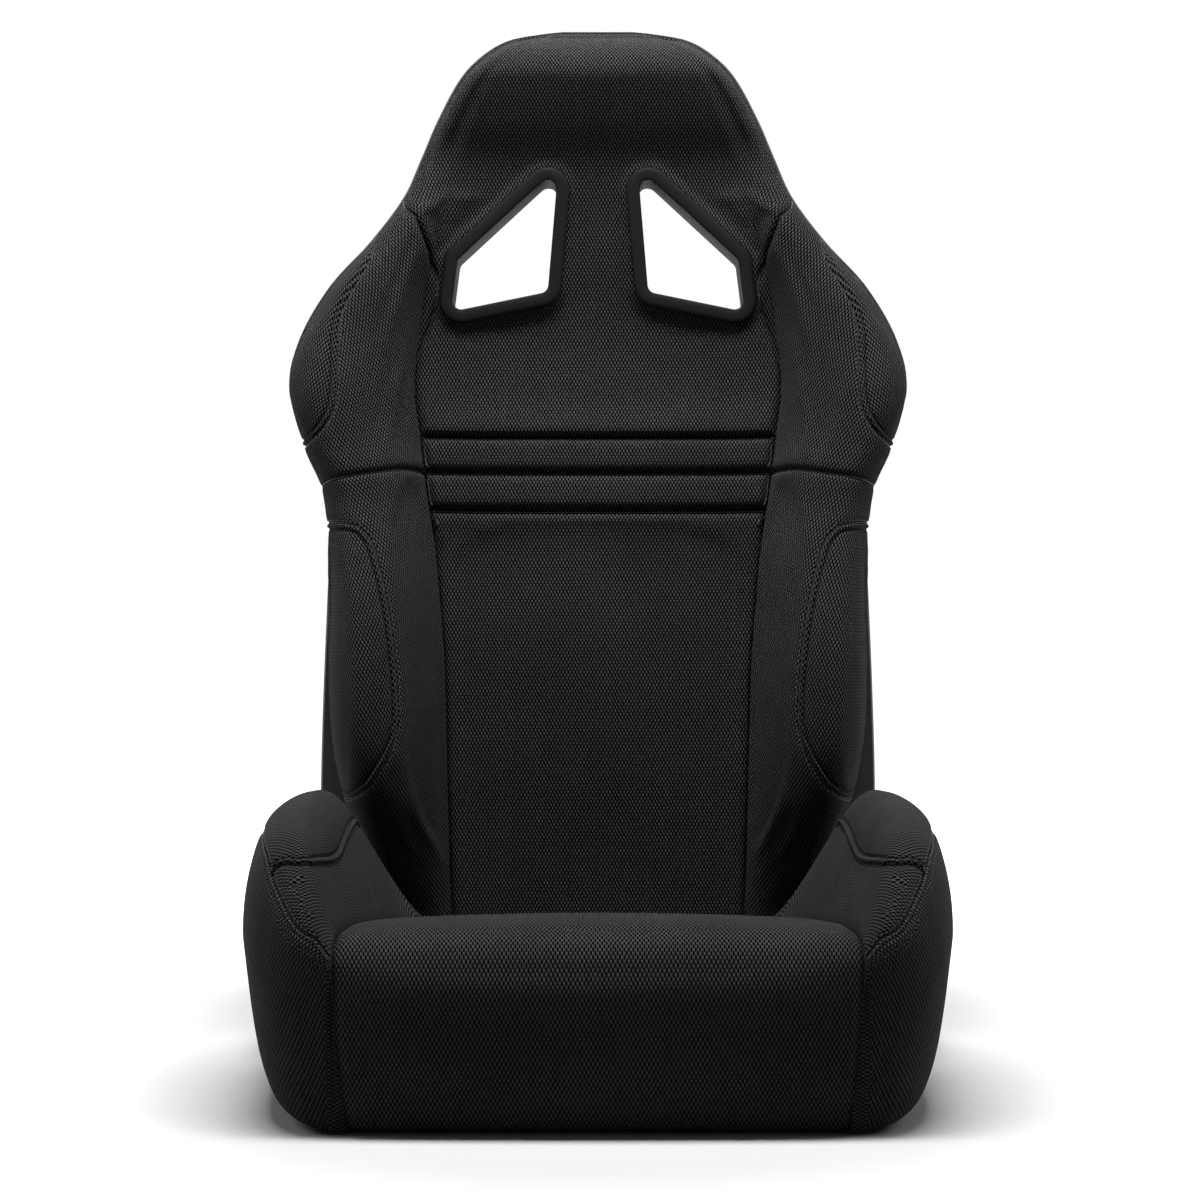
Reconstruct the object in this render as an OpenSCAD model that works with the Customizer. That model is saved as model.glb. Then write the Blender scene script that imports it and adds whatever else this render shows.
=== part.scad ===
// Reclining sport bucket seat: cloth covers over moulded foam, on a tube frame
// with two harness slots in the backrest and a toothed recliner at each side.
// X runs across the seat, Y to the rear and Z up.
// The origin is the centre of the four mounting holes, on the rails' underside.

/* [Backrest] */
// Height of the backrest's crest above the floor
overall_h = 890; // [750:5:1070]
// Width across the shoulder bolsters
shoulder_w = 556; // [510:2:670]
// Width across the backrest's waist
waist_w = 480; // [468:2:500]
// Lean of the backrest frame from upright
lean = 10.2; // [8:0.2:13]
// Depth of the back shell behind the foam
shell_depth = 46; // [42:1:60]
// Thickness of the shell's wall
shell_wall = 3; // [2:0.5:4]

/* [Base] */
// Width across the base bolsters
base_w = 580; // [560:2:690]
// Distance from the mounting centre to the front of the cushion
cushion_front = 250; // [240:2:300]
// Height of the cushion's front edge
cushion_h = 158; // [140:2:190]
// Height of the base bolsters' ridge
bolster_h = 250; // [230:2:290]

/* [Covers] */
// Thickness of the sewn cover with its scrim foam
cover_t = 3; // [2:0.5:4]
// Depth of the sewn rib channels
channel_d = 6; // [3:0.5:8]

/* [Mounting] */
// Distance between the mounting holes across the seat
mount_x = 350; // [340:1:360]
// Distance between the mounting holes along the seat
mount_y = 290; // [240:1:350]
// Radius of the mounting holes
mount_r = 4.25; // [3.2:0.05:5.2]

/* [Frame] */
// Outer radius of the frame tubes
tube_r = 12.5; // [10.5:0.5:12.5]
// Wall of the frame tubes
tube_wall = 2; // [1.5:0.1:2.5]
// Distance between the backrest's upright tubes
upright_x = 390; // [388:1:394]
// Height of the side rails
rail_h = 25; // [21:1:25]

/* [Recliner] */
// Radius of the pivot bolts
pivot_r = 8; // [6:0.5:10]
// Radius of the release rod
rod_r = 5; // [4:0.25:6]
// Running clearance of the turning parts, in radius
run_gap = 0.05; // [0.02:0.01:0.1]
// Number of teeth round the recliner arm
tooth_count = 48; // [36:1:60]

/* [Harness slots] */
// Width of the bezel's face round a slot
bezel_w = 12; // [9:0.5:14]
// Wall of the tunnel through the slot
tunnel_wall = 2; // [1.5:0.5:2.5]

/* [Hidden] */

cloth = [0.16, 0.16, 0.17];
panel_cloth = [0.22, 0.22, 0.23];
foam_colour = [0.55, 0.52, 0.42];
steel = [0.35, 0.36, 0.38];
zinc = [0.7, 0.7, 0.68];
plastic = [0.1, 0.1, 0.1];

eps = 0.01;
seat_gap = 0.3;
foam_gap = 0.8;
round_fn = 64;

pivot_y = 205;
pivot_z = 105;
design_h = 890;
design_base_w = 580;

/* ---- Numbers on curves ---- */

// Row of a table that holds the value x
function row_of(tab, x, i = 0) =
    i >= len(tab) - 2 || x <= tab[i + 1][0] ? i : row_of(tab, x, i + 1);

function slope(tab, i, c) =
    let (a = max(i - 1, 0), b = min(i + 1, len(tab) - 1))
    (tab[b][c] - tab[a][c]) / (tab[b][0] - tab[a][0]);

// Smooth curve through column c of a table, read at x
function curve(tab, x, c = 1) =
    let (i = row_of(tab, x), h = tab[i + 1][0] - tab[i][0])
    let (t = min(max((x - tab[i][0]) / h, 0), 1), t2 = t * t, t3 = t2 * t)
    (2 * t3 - 3 * t2 + 1) * tab[i][c] + (t3 - 2 * t2 + t) * h * slope(tab, i, c)
        + (3 * t2 - 2 * t3) * tab[i + 1][c] + (t3 - t2) * h * slope(tab, i + 1, c);

function bezier(a, b, c, d, t) =
    let (s = 1 - t)
    s * s * s * a + 3 * s * s * t * b + 3 * s * t * t * c + t * t * t * d;

function mix(a, b, t) = a + (b - a) * t;

// Quarter-ellipse factor that is 1 up to x0 and falls to 0 at x1
function dome(x, x0, x1) =
    let (t = (x - x0) / (x1 - x0))
    t <= 0 ? 1 : sqrt(max(1 - t * t, 0));

/* ---- Closed solid between two grids of the same size, mirror-like about the middle column ---- */

module slab(top, under, middle = 0) {
    m = len(top);
    n = len(top[0]);
    pts = concat([for (r = top) each r], [for (r = under) each r]);
    k = m * n;
    top_f = [for (i = [0 : m - 2], j = [0 : n - 2])
        let (a = i * n + j, b = a + n, c = b + 1, d = a + 1)
        each j < middle ? [[a, b, d], [b, c, d]] : [[a, b, c], [a, c, d]]];
    low_f = [for (f = top_f) [f[0] + k, f[2] + k, f[1] + k]];
    rim = concat([for (j = [0 : n - 2]) j], [for (i = [0 : m - 2]) i * n + n - 1],
        [for (j = [n - 1 : -1 : 1]) (m - 1) * n + j], [for (i = [m - 1 : -1 : 1]) i * n]);
    rim_f = [for (q = [0 : len(rim) - 1])
        let (a = rim[q], b = rim[(q + 1) % len(rim)])
        each [[a, b, b + k], [a, b + k, a + k]]];
    polyhedron(points = pts, faces = concat(rim_f, low_f, top_f), convexity = 8);
}

/* ---- Backrest form ---- */

// Backrest by height: half width, seam, ridge, bolster rise and foam depth
waist_grow = (waist_w - 480) / 2;
shoulder_grow = (shoulder_w - 556) / 2;
back_rows = [
    [65, 197, 128, 174, 8, 56],
    [110, 198, 130, 176, 12, 57],
    [150, 205, 132, 182, 30, 58],
    [200, 224, 134, 193, 62, 60],
    [230, 233, 135, 199, 76, 61],
    [270, 239 + waist_grow, 136, 202 + waist_grow, 86, 61],
    [330, 241 + waist_grow, 138, 204 + waist_grow, 88, 60],
    [380, 240 + waist_grow, 142, 204 + waist_grow, 84, 57],
    [430, 242 + waist_grow, 147, 206 + waist_grow, 75, 52],
    [480, 249 + mix(waist_grow, shoulder_grow, 0.4), 155, 214 + waist_grow, 67, 45],
    [520, 266 + shoulder_grow, 160, 230 + shoulder_grow, 70, 39],
    [568, 278 + shoulder_grow, 166, 239 + shoulder_grow, 72, 33],
    [612, 270 + shoulder_grow, 164, 231 + shoulder_grow, 64, 29],
    [660, 242.5 + 0.6 * shoulder_grow, 157, 208 + 0.6 * shoulder_grow, 48, 32],
    [700, 206 + 0.3 * shoulder_grow, 148, 181 + 0.3 * shoulder_grow, 30, 35],
    [740, 176, 136, 158, 18, 37],
    [775, 160, 122, 143, 14, 44.5],
    [810, 145, 108, 129, 12, 58],
    [850, 123, 90, 107, 8, 72],
    [870, 103, 72, 88, 5, 76],
    [883, 79, 55, 67, 3, 75],
    [888, 52, 36, 44, 1, 74],
    [890, 34, 24, 29, 0, 74]
];
foot_h = 65;
crest_h = 850;
head_split_h = 790;
rib_seams = [461, 494, 526];
rib_reach = 7;
// Share of the centre panel's half width up to which its channels keep their full depth
channel_end_u = 0.93;

// Heights at which the backrest's sections lie
back_heights = [65, 69, 80, 100, 130, 165, 200, 250, 310, 370, 425, 454, 461, 468, 477, 487,
    494, 501, 510, 519, 526, 533, 552, 582, 616, 650, 690, 735, 764, 790, 820, 850, 870, 883, 888.5, 890];
centre_steps = [0, channel_end_u, 1];
bolster_steps = [0.14, 0.36, 0.6, 0.8, 0.93, 1];

function real_z(h) = pivot_z + (h - pivot_z) * (overall_h - pivot_z) / (design_h - pivot_z);
function plane_y(z) = pivot_y + 16 + (z - pivot_z) * tan(lean);

function end_dome(h) =
    h < pivot_z ? dome(-h, -pivot_z, -foot_h) : dome(h, crest_h, design_h);

// Sewn channels across the centre panel, running out at its two seams
function channel(h, u) =
    let (near = [for (s = rib_seams) max(1 - abs(h - s) / rib_reach, 0)])
    channel_d * max(near) * min((1 - u) / (1 - channel_end_u), 1);

// Point of the half section at height h, u from 0 at the centre to 1 at the seam
// and on to 2 at the edge, drawn in by the inset
function back_half(h, u, inset) =
    let (w = curve(back_rows, h, 1) - inset, seam = min(curve(back_rows, h, 2), 0.75 * w))
    let (ridge = min(curve(back_rows, h, 3), 0.9 * w), e = end_dome(h))
    let (rise = curve(back_rows, h, 4) * e, deep = max(curve(back_rows, h, 5) * e - inset, 0))
    u <= 1
        ? [seam * u, max(deep + 3 * e * (1 - u * u) - channel(h, u), 0)]
        : let (
              v = u - 1,
              knee = 0.56,
              top = deep + rise,
              full = min(top / 20, 1),
              a = [seam, deep],
              r = [ridge, top],
              b = [mix(seam, ridge, 0.16), deep + 0.62 * rise],
              c = [mix(seam, ridge, 0.56), top],
              d = [mix(ridge, w, 0.75), top],
              f = [w + 3 * full, 0.62 * top],
              g = [w + 1 - 3 * full, 0]
          )
          v < knee ? bezier(a, b, c, r, v / knee) : bezier(r, d, f, g, (v - knee) / (1 - knee));

function back_point(h, u, inset) =
    let (shrink = (h - 480) / 410, z = real_z(h) - inset * shrink)
    let (p = back_half(h, abs(u), inset))
    [sign(u) * p[0], plane_y(z) - p[1], z];

// Point of the foam's flat rear face behind the same place of the grid
function plane_point(h, u, inset) =
    let (p = back_point(h, u, inset), seam = back_point(h, 1, inset), edge = back_point(h, 2, inset))
    let (x = abs(u) <= 1 ? abs(p[0]) : mix(seam[0], edge[0], abs(u) - 1))
    [sign(u) * x, plane_y(p[2]), p[2]];

half_u = concat(centre_steps, [for (v = bolster_steps) 1 + v]);
full_u = concat([for (i = [len(half_u) - 1 : -1 : 1]) -half_u[i]], half_u);

function back_grid(hs, us, inset) = [for (h = hs) [for (u = us) back_point(h, u, inset)]];
function plane_grid(hs, us, inset) = [for (h = hs) [for (u = us) plane_point(h, u, inset)]];

back_middle = len(half_u) - 1;

module backrest_cover() {
    color(cloth)
        difference() {
            slab(back_grid(back_heights, full_u, 0), back_grid(back_heights, full_u, cover_t), back_middle);
            both_slots(tunnel_wall + foam_gap);
        }
}

function heights_between(a, b) = [for (h = back_heights) if (h >= a && h <= b) h];
foam_inset = cover_t + foam_gap;
// The front grid of a foam block stands this little ahead, so that the solid has an edge
front_step = 0.15;

module foam_block(hs, us, middle) {
    front = [for (h = hs) [for (u = us)
        back_point(h, u, foam_inset) + [0, -front_step, 0]]];
    slab(front, plane_grid(hs, us, foam_inset), middle);
}

module head_foam() {
    color(foam_colour) foam_block(heights_between(head_split_h, design_h), full_u, back_middle);
}

body_heights = heights_between(foot_h, head_split_h - 1);
foam_heights = concat(body_heights, [head_split_h - foam_gap]);

module back_centre_foam() {
    us = [-0.994, -channel_end_u, 0, channel_end_u, 0.994];
    color(foam_colour)
        difference() {
            foam_block(foam_heights, us, 2);
            both_slots(tunnel_wall + foam_gap);
        }
}

module back_bolster_foam() {
    us = concat([1.001], [for (v = bolster_steps) 1 + v]);
    color(foam_colour) foam_block(foam_heights, us, 0);
}

module back_bolster_foam_left() {
    mirror([1, 0, 0]) back_bolster_foam();
}

module back_bolster_foam_right() {
    back_bolster_foam();
}

/* ---- Back shell ---- */

shell_low_h = 150;
shell_rows = [
    [150, 250 + waist_grow],
    [220, 250 + waist_grow],
    [300, 248 + waist_grow],
    [380, 245 + waist_grow],
    [430, 243 + waist_grow],
    [480, 248 + mix(waist_grow, shoulder_grow, 0.4)]
];
shell_heights = [150, 230, 310, 370, 425, 477, 519, 570, 610, 650, 690, 735, 775, 815, 850,
    870, 883, 888.5, 890];
shell_steps = [0, 0.25, 0.5, 0.75, 1];
shell_flat = 0.45;

function shell_half_w(h) = h <= 480 ? curve(shell_rows, h) : curve(back_rows, h, 1) + 1;

function shell_point(h, u, inset) =
    let (shrink = (h - 480) / 410, z = real_z(h) - (h > 480 ? inset * shrink : 0))
    let (w = shell_half_w(h) - inset, deep = max(shell_depth * dome(h, 790, design_h) - inset, 0))
    let (flat = shell_flat * w, side = abs(u))
    let (p = side <= 1 ? [flat * side, deep]
        : bezier([flat, deep], [0.86 * w, deep], [w - 1, 0.72 * deep], [w, 0], side - 1))
    [sign(u) * p[0], plane_y(z) + p[1] + seat_gap, z];

shell_half_u = [0, 1, 1.25, 1.5, 1.7, 1.86, 2];
shell_u = concat([for (i = [len(shell_half_u) - 1 : -1 : 1]) -shell_half_u[i]], shell_half_u);

module back_shell() {
    outer = [for (h = shell_heights) [for (u = shell_u) shell_point(h, u, 0)]];
    inner = [for (h = shell_heights) [for (u = shell_u) shell_point(h, u, shell_wall)]];
    color(plastic)
        difference() {
            slab(inner, outer, len(shell_half_u) - 1);
            both_slots(tunnel_wall + foam_gap);
            standoff_places() shell_screw_hole();
        }
}

/* ---- Frame of the backrest ---- */

// The frame's own axes: X across, Z up along the lean, Y out of the back
module lean_frame() {
    translate([0, plane_y(0), 0]) rotate([-lean, 0, 0]) children();
}

function along(h) = real_z(h) / cos(lean);
tube_y = seat_gap + tube_r;
half_up = upright_x / 2;
tube_sides = 16;
bend_r = 60;

function unit(v) = v / norm(v);

// Open path with its inner corners rounded to the bend radius, as points and directions
function bent(pts, r) =
    let (n = len(pts), steps = 2)
    concat([[pts[0], unit(pts[1] - pts[0])]],
        [for (i = [1 : n - 2])
            let (a = unit(pts[i] - pts[i - 1]), b = unit(pts[i + 1] - pts[i]), turn = acos(a * b))
            let (na = [-a[1], a[0]], c = pts[i] - a * r * tan(turn / 2) - na * r, t0 = atan2(na[1], na[0]))
            for (k = [0 : steps])
                let (t = t0 - turn * k / steps)
                [c + r * [cos(t), sin(t)], [sin(t), -cos(t)]]],
        [[pts[n - 1], unit(pts[n - 1] - pts[n - 2])]]);

// Ring of points round one station of a path in the frame's plane
function tube_ring(station, r) =
    let (p = station[0], d = station[1], across = [d[1], -d[0]])
    [for (k = [0 : tube_sides - 1])
        let (a = 360 * k / tube_sides, q = p + across * r * cos(a))
        [q[0], tube_y + r * sin(a), q[1]]];

// Hollow tube along a path: outer and inner skins, joined at the two open ends
module tube_path(stations) {
    n = tube_sides;
    outer = [for (s = stations) tube_ring(s, tube_r)];
    inner = [for (s = stations) tube_ring(s, tube_r - tube_wall)];
    last = len(stations) - 1;
    k = n * (last + 1);
    outer_f = [for (i = [0 : last - 1], j = [0 : n - 1])
        let (a = i * n + j, b = i * n + (j + 1) % n)
        each [[a, a + n, b + n], [a, b + n, b]]];
    inner_f = [for (f = outer_f) [f[0] + k, f[2] + k, f[1] + k]];
    ends = [for (j = [0 : n - 1])
        let (a = j, b = (j + 1) % n, c = last * n + j, d = last * n + (j + 1) % n)
        each [[a, b, b + k], [a, b + k, a + k], [c, d + k, d], [c, c + k, d + k]]];
    polyhedron(points = concat([for (r = outer) each r], [for (r = inner) each r]),
        faces = concat(outer_f, inner_f, ends), convexity = 6);
}

// Right half of the hoop, from its foot to the middle of the top
hoop_side = [[half_up, along(140)], [half_up, along(588)], [half_up - 9, along(622)],
    [97, along(804)], [70, along(832)]];
hoop_path = concat([for (p = hoop_side) [-p[0], p[1]]],
    [for (i = [len(hoop_side) - 1 : -1 : 0]) hoop_side[i]]);

module back_hoop() {
    color(steel) lean_frame() tube_path(bent(hoop_path, bend_r));
}

bar_heights = [170, 380, 560];
bar_r = 9;

module cross_bar(h) {
    reach = half_up - sqrt(tube_r * tube_r - bar_r * bar_r) + 2;
    translate([0, tube_y, along(h)])
        rotate([0, 90, 0])
            difference() {
                cylinder(h = 2 * reach, r = bar_r, center = true, $fn = round_fn);
                cylinder(h = 2 * reach + 1, r = bar_r - tube_wall, center = true, $fn = round_fn);
                for (s = [-1, 1])
                    translate([0, 0, s * half_up])
                        rotate([0, 90, 0])
                            cylinder(h = 60, r = tube_r, center = true, $fn = round_fn);
            }
}

module back_cross_bars() {
    color(steel) lean_frame() for (h = bar_heights) cross_bar(h);
}

wire_heights = [240, 305, 450, 520];
wire_r = 2;

module back_wires() {
    color(zinc)
        lean_frame()
            for (h = wire_heights)
                translate([0, tube_y, along(h)])
                    rotate([0, 90, 0])
                        difference() {
                            cylinder(h = upright_x, r = wire_r, center = true, $fn = 24);
                            for (s = [-1, 1])
                                translate([0, 0, s * half_up])
                                    rotate([0, 90, 0])
                                        cylinder(h = 30, r = tube_r, center = true, $fn = round_fn);
                        }
}

/* ---- Shell fixings ---- */

standoff_x = 70;
standoff_r = 6;
screw_r = 2.5;
screw_head_r = 5.5;
shell_inner_y = (shell_depth - shell_wall + seat_gap) * cos(lean);
shell_outer_y = (shell_depth + seat_gap) * cos(lean);
standoff_y = tube_y + bar_r;

module standoff_places() {
    lean_frame()
        for (h = bar_heights, s = [-1, 1])
            translate([s * standoff_x, 0, along(h)]) rotate([-90, 0, 0]) children();
}

module shell_screw_hole() {
    translate([0, 0, standoff_y]) cylinder(h = 60, r = screw_r + 0.2, $fn = 32);
}

module shell_standoffs() {
    color(zinc)
        standoff_places()
            translate([0, 0, standoff_y + 0.1])
                difference() {
                    cylinder(h = shell_inner_y - standoff_y - 0.3, r = standoff_r, $fn = 32);
                    translate([0, 0, -1]) cylinder(h = 60, r = screw_r, $fn = 32);
                }
}

module shell_screws() {
    color(steel)
        standoff_places() {
            translate([0, 0, standoff_y + 1])
                cylinder(h = shell_outer_y - standoff_y - 1 + 0.5, r = screw_r, $fn = 32);
            translate([0, 0, shell_outer_y + 0.4])
                difference() {
                    cylinder(h = 3, r = screw_head_r, $fn = 48);
                    translate([0, 0, 1.4]) cylinder(h = 3, r = 1.8, $fn = 6);
                }
        }
}

/* ---- Harness slots ---- */

slot_tilt = 6;
slot_mid_h = 695;
slot_corners = [[36, 74], [127, -10], [133, -57], [45.5, -39]];
slot_round = 8;
slot_front_y = plane_y(real_z(slot_mid_h)) - curve(back_rows, slot_mid_h, 5) - 3.8;

// Corners moved outward by d, for a list that runs clockwise
function grown(pts, d) =
    let (n = len(pts))
    [for (i = [0 : n - 1])
        let (a = unit(pts[i] - pts[(i + n - 1) % n]), b = unit(pts[(i + 1) % n] - pts[i]))
        let (na = [-a[1], a[0]], nb = [-b[1], b[0]])
        pts[i] + (na + nb) * d / (1 + na * nb)];

// Outline with each corner rounded to radius r in six steps
function rounded(pts, r) =
    let (n = len(pts), steps = 6)
    [for (i = [0 : n - 1])
        let (a = unit(pts[i] - pts[(i + n - 1) % n]), b = unit(pts[(i + 1) % n] - pts[i]))
        let (turn = acos(a * b), na = [-a[1], a[0]], c = pts[i] - a * r * tan(turn / 2) - na * r)
        for (k = [0 : steps])
            let (t = atan2(na[1], na[0]) - turn * k / steps)
            c + r * [cos(t), sin(t)]];

module slot_frame(side) {
    translate([0, slot_front_y, real_z(slot_mid_h)])
        rotate([-slot_tilt, 0, 0])
            mirror([side < 0 ? 1 : 0, 0, 0])
                rotate([90, 0, 0])
                    children();
}

// Prism of the slot's outline grown by d, from y = a to y = b behind the bezel's face
module slot_prism(side, d, a, b) {
    slot_frame(side)
        translate([0, 0, -b])
            linear_extrude(height = b - a)
                polygon(rounded(grown(slot_corners, d), slot_round + d));
}

module both_slots(d) {
    for (side = [-1, 1]) slot_prism(side, d, -60, 160);
}

bezel_t = 3;
// How far the tilted tunnel sinks on its way to the shell's rear face
slot_drop = 8.5;
bezel_lift = 1.2;
// How far the tunnel runs back, to just inside the shell's wall
tunnel_len = curve(back_rows, slot_mid_h, 5) + shell_depth - 4;

module slot_bezel(side) {
    color(plastic) {
        difference() {
            union() {
                slot_prism(side, bezel_w, -bezel_lift - bezel_t, -bezel_lift);
                slot_prism(side, tunnel_wall, -bezel_lift - eps, tunnel_len);
            }
            slot_prism(side, 0, -40, tunnel_len + 40);
        }
    }
}

module slot_bezel_left() {
    slot_bezel(-1);
}

module slot_bezel_right() {
    slot_bezel(1);
}

// Flat ring on the shell's rear face
module slot_rear_bezel(side) {
    z = real_z(slot_mid_h) - slot_drop;
    color(plastic)
        translate([0, plane_y(z) + shell_depth + 2 * seat_gap, z])
            rotate([-lean, 0, 0])
                mirror([side < 0 ? 1 : 0, 0, 0])
                    rotate([90, 0, 0])
                        translate([0, 0, -bezel_t])
                            linear_extrude(height = bezel_t)
                                difference() {
                                    polygon(rounded(grown(slot_corners, bezel_w), slot_round + bezel_w));
                                    polygon(rounded(grown(slot_corners, 1), slot_round + 1));
                                }
}

module slot_rear_bezel_left() {
    slot_rear_bezel(-1);
}

module slot_rear_bezel_right() {
    slot_rear_bezel(1);
}

/* ---- Base form ---- */

side_grow = (base_w - design_base_w) / 2;
front_y = -cushion_front;

// Base by distance from the front: half width, seam, ridge, ridge height and cushion height
base_rows = [
    [1, 226, 212, 216, 139, 138],
    [3, 238, 212, 219, 148, 145],
    [7, 248, 212, 224, 160, 151],
    [14, 257, 211, 229, 174, 156],
    [25, 266 + side_grow, 210, 232, 190, 159],
    [45, 277 + side_grow, 208, 236, 211, 160],
    [70, 284 + side_grow, 205, 238, 229, 159],
    [100, 289 + side_grow, 201, 240, 238, 155],
    [140, 290 + side_grow, 195, 240, 244, 149],
    [190, 290 + side_grow, 189, 239, 245, 141],
    [230, 286 + side_grow, 181, 238, 243, 134],
    [265, 277 + side_grow, 171, 237, 239, 128],
    [295, 267 + side_grow, 161, 236, 234, 122],
    [320, 262 + side_grow, 154, 235, 220, 117],
    [345, 258, 149, 232, 196, 112],
    [368, 254, 145, 227, 162, 107],
    [386, 250, 143, 222, 130, 101],
    [398, 245, 142, 216, 108, 94]
];
base_end = 398;
rim_x = 193.5;
front_rim_x = 209;
rim_z = 3;
side_taper = 13;
corner_in = 18;
pan_z = rail_h + 2 * tube_r;
pan_t = 1.5;

base_places = [1, 3, 7, 14, 25, 45, 70, 105, 150, 200, 245, 285, 320, 350, 375, 398];
top_path = [for (i = [len(base_places) - 1 : -1 : 0]) base_places[i]];
section_steps = [0, 0.35, 0.7, 1, 1.4, 1.8, 2, 2.3, 2.6, 2.8, 3, 3.25, 3.5, 3.75, 4];

function ridge_z(s) = curve(base_rows, s, 4) * bolster_h / 250;
function cushion_z(s) = curve(base_rows, s, 5) * cushion_h / 158;

// Section of a bolster s behind the front: v runs from 0 at the lower rim, round the
// outside to the ridge at 3 and down to the seam at 4
function bolster_half(s, v, inset) =
    let (w = curve(base_rows, s, 1), grow = min((w - 212) / 78, 1), seam = curve(base_rows, s, 2))
    let (wi = w - inset, low = rim_z + inset, zr = ridge_z(s) - inset)
    let (zs = cushion_z(s) - inset - 2, ridge = min(curve(base_rows, s, 3), wi))
    let (wb = wi - side_taper * grow, corner = wb - corner_in * grow - 2, mid = mix(low, zr, 0.6))
    let (rim = min(mix(front_rim_x, rim_x, min(max(s / 25 - 1.8, 0), 1)), corner - 3))
    v <= 1 ? [mix(rim, corner, v), low]
        : v <= 2 ? bezier([corner, low], [wb, low], [wb + 0.2 * (wi - wb), mix(low, mid, 0.4)],
            [wi, mid], v - 1)
        : v <= 3 ? bezier([wi, mid], [wi + 1, mix(mid, zr, 0.62)],
            [mix(ridge, wi, 0.62), zr], [ridge, zr], v - 2)
        : bezier([ridge, zr], [mix(ridge, seam, 0.35), zr],
            [mix(seam, ridge, 0.3), mix(zs, zr, 0.3)], [seam, zs], v - 3);

function bolster_point(s, v, inset) =
    let (p = bolster_half(s, v, inset), back = inset * (1 - 2 * s / base_end))
    [p[0] + 2 * seat_gap, front_y + s + back, p[1]];

module base_bolster_cover() {
    outer = [for (s = base_places) [for (v = section_steps) bolster_point(s, v, 0)]];
    inner = [for (s = base_places) [for (v = section_steps) bolster_point(s, v, cover_t)]];
    color(cloth) slab(inner, outer);
}

module base_bolster_cover_left() {
    mirror([1, 0, 0]) base_bolster_cover();
}

module base_bolster_cover_right() {
    base_bolster_cover();
}

// Least thickness of the bolster foam at its two edges
foam_edge = 3;

// Inner side of the bolster foam: up from the rim, over the pan and up to the seam
function core_point(s, v) =
    let (p = bolster_point(s, v, foam_inset), seam = bolster_point(s, 4, foam_inset))
    let (rim = bolster_point(s, 0, foam_inset), over = pan_z + pan_t + foam_gap)
    v <= 2 ? [rim[0] + foam_edge * (1 + v), p[1], mix(rim[2] + foam_edge, over, v / 2)]
        : v <= 3 ? [mix(rim[0] + 3 * foam_edge, seam[0] + foam_edge, v - 2), p[1], over]
        : [seam[0] + foam_edge * mix(1, 0.3, v - 3), p[1], mix(over, seam[2] - foam_edge, v - 3)];

module base_bolster_foam() {
    places = [for (s = base_places) if (s > 5 && s < 390) s];
    outer = [for (s = places) [for (v = section_steps) bolster_point(s, v, foam_inset)]];
    core = [for (s = places) [for (v = section_steps) core_point(s, v)]];
    color(foam_colour) slab(core, outer);
}

module base_bolster_foam_left() {
    mirror([1, 0, 0]) base_bolster_foam();
}

module base_bolster_foam_right() {
    base_bolster_foam();
}

/* ---- Cushion ---- */

// Path of the cushion from its rear edge, over the top and down the front:
// distance behind the front and height as a share of the top or of the front face
front_path = [[-1.5, 0.93], [-3, 0.8], [-4, 0.6], [-4, 0.4], [-2.5, 0.2], [0, 0.08], [5, 0], [18, 0]];
cushion_steps = [-1, -0.86, -0.5, 0, 0.5, 0.86, 1];
cushion_middle = 3;
cushion_crown = 5;
front_seam_x = 210.5;
front_foot_x = 204;

function crown(u) = cushion_crown * (1 - u * u);

function cushion_top(s, u, inset) =
    let (edge = s > 380 ? 12 * (s - 380) / 18 : 0)
    [curve(base_rows, s, 2) * u, front_y + s + inset * (1 - 2 * s / base_end),
        cushion_z(s) + crown(u) * min(s / 60, 1) - inset - edge];

function cushion_front_point(k, u, inset) =
    let (f = front_path[k], top = cushion_z(1), low = rim_z + inset)
    let (z = low + (top - low) * f[1])
    [mix(front_foot_x, front_seam_x, min(f[1] * 1.5, 1)) * u,
        front_y + f[0] - 0.8 * crown(u) * sin(180 * f[1]) + inset, z];

function cushion_grid(inset) = concat(
    [for (s = top_path) [for (u = cushion_steps) cushion_top(s, u, inset)]],
    [for (k = [0 : len(front_path) - 1]) [for (u = cushion_steps) cushion_front_point(k, u, inset)]]);

module cushion_cover() {
    color(panel_cloth) slab(cushion_grid(cover_t), cushion_grid(0), cushion_middle);
}

front_tube_clear = 40;

// Lower face of the cushion foam, point by point under the same grid
function cushion_under(inset) =
    let (over = pan_z + pan_t + foam_gap, n = len(front_path))
    concat(
        [for (s = top_path) [for (u = cushion_steps)
            let (p = cushion_top(s, u, inset))
            [p[0], max(p[1], front_y + front_tube_clear + 0.05 * s), over]]],
        [for (k = [0 : n - 1]) [for (u = cushion_steps)
            let (p = cushion_front_point(k, u, inset))
            [p[0], front_y + front_tube_clear - k * 0.2, mix(over - 1, rim_z + inset + 0.5, (k + 1) / n)]]]);

module cushion_foam() {
    color(foam_colour) slab(cushion_under(foam_inset), cushion_grid(foam_inset), cushion_middle);
}

/* ---- Base frame ---- */

rail_w = 30;
rail_front = -205;
rail_rear = pivot_y + 12;
rail_wall = 2;
nut_across = 15;
nut_h = 8;
front_tube_y = -190;
mid_tube_y = 150;
plate_x = 213;
plate_t = 5;
tube_z = rail_h + tube_r;

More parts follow.
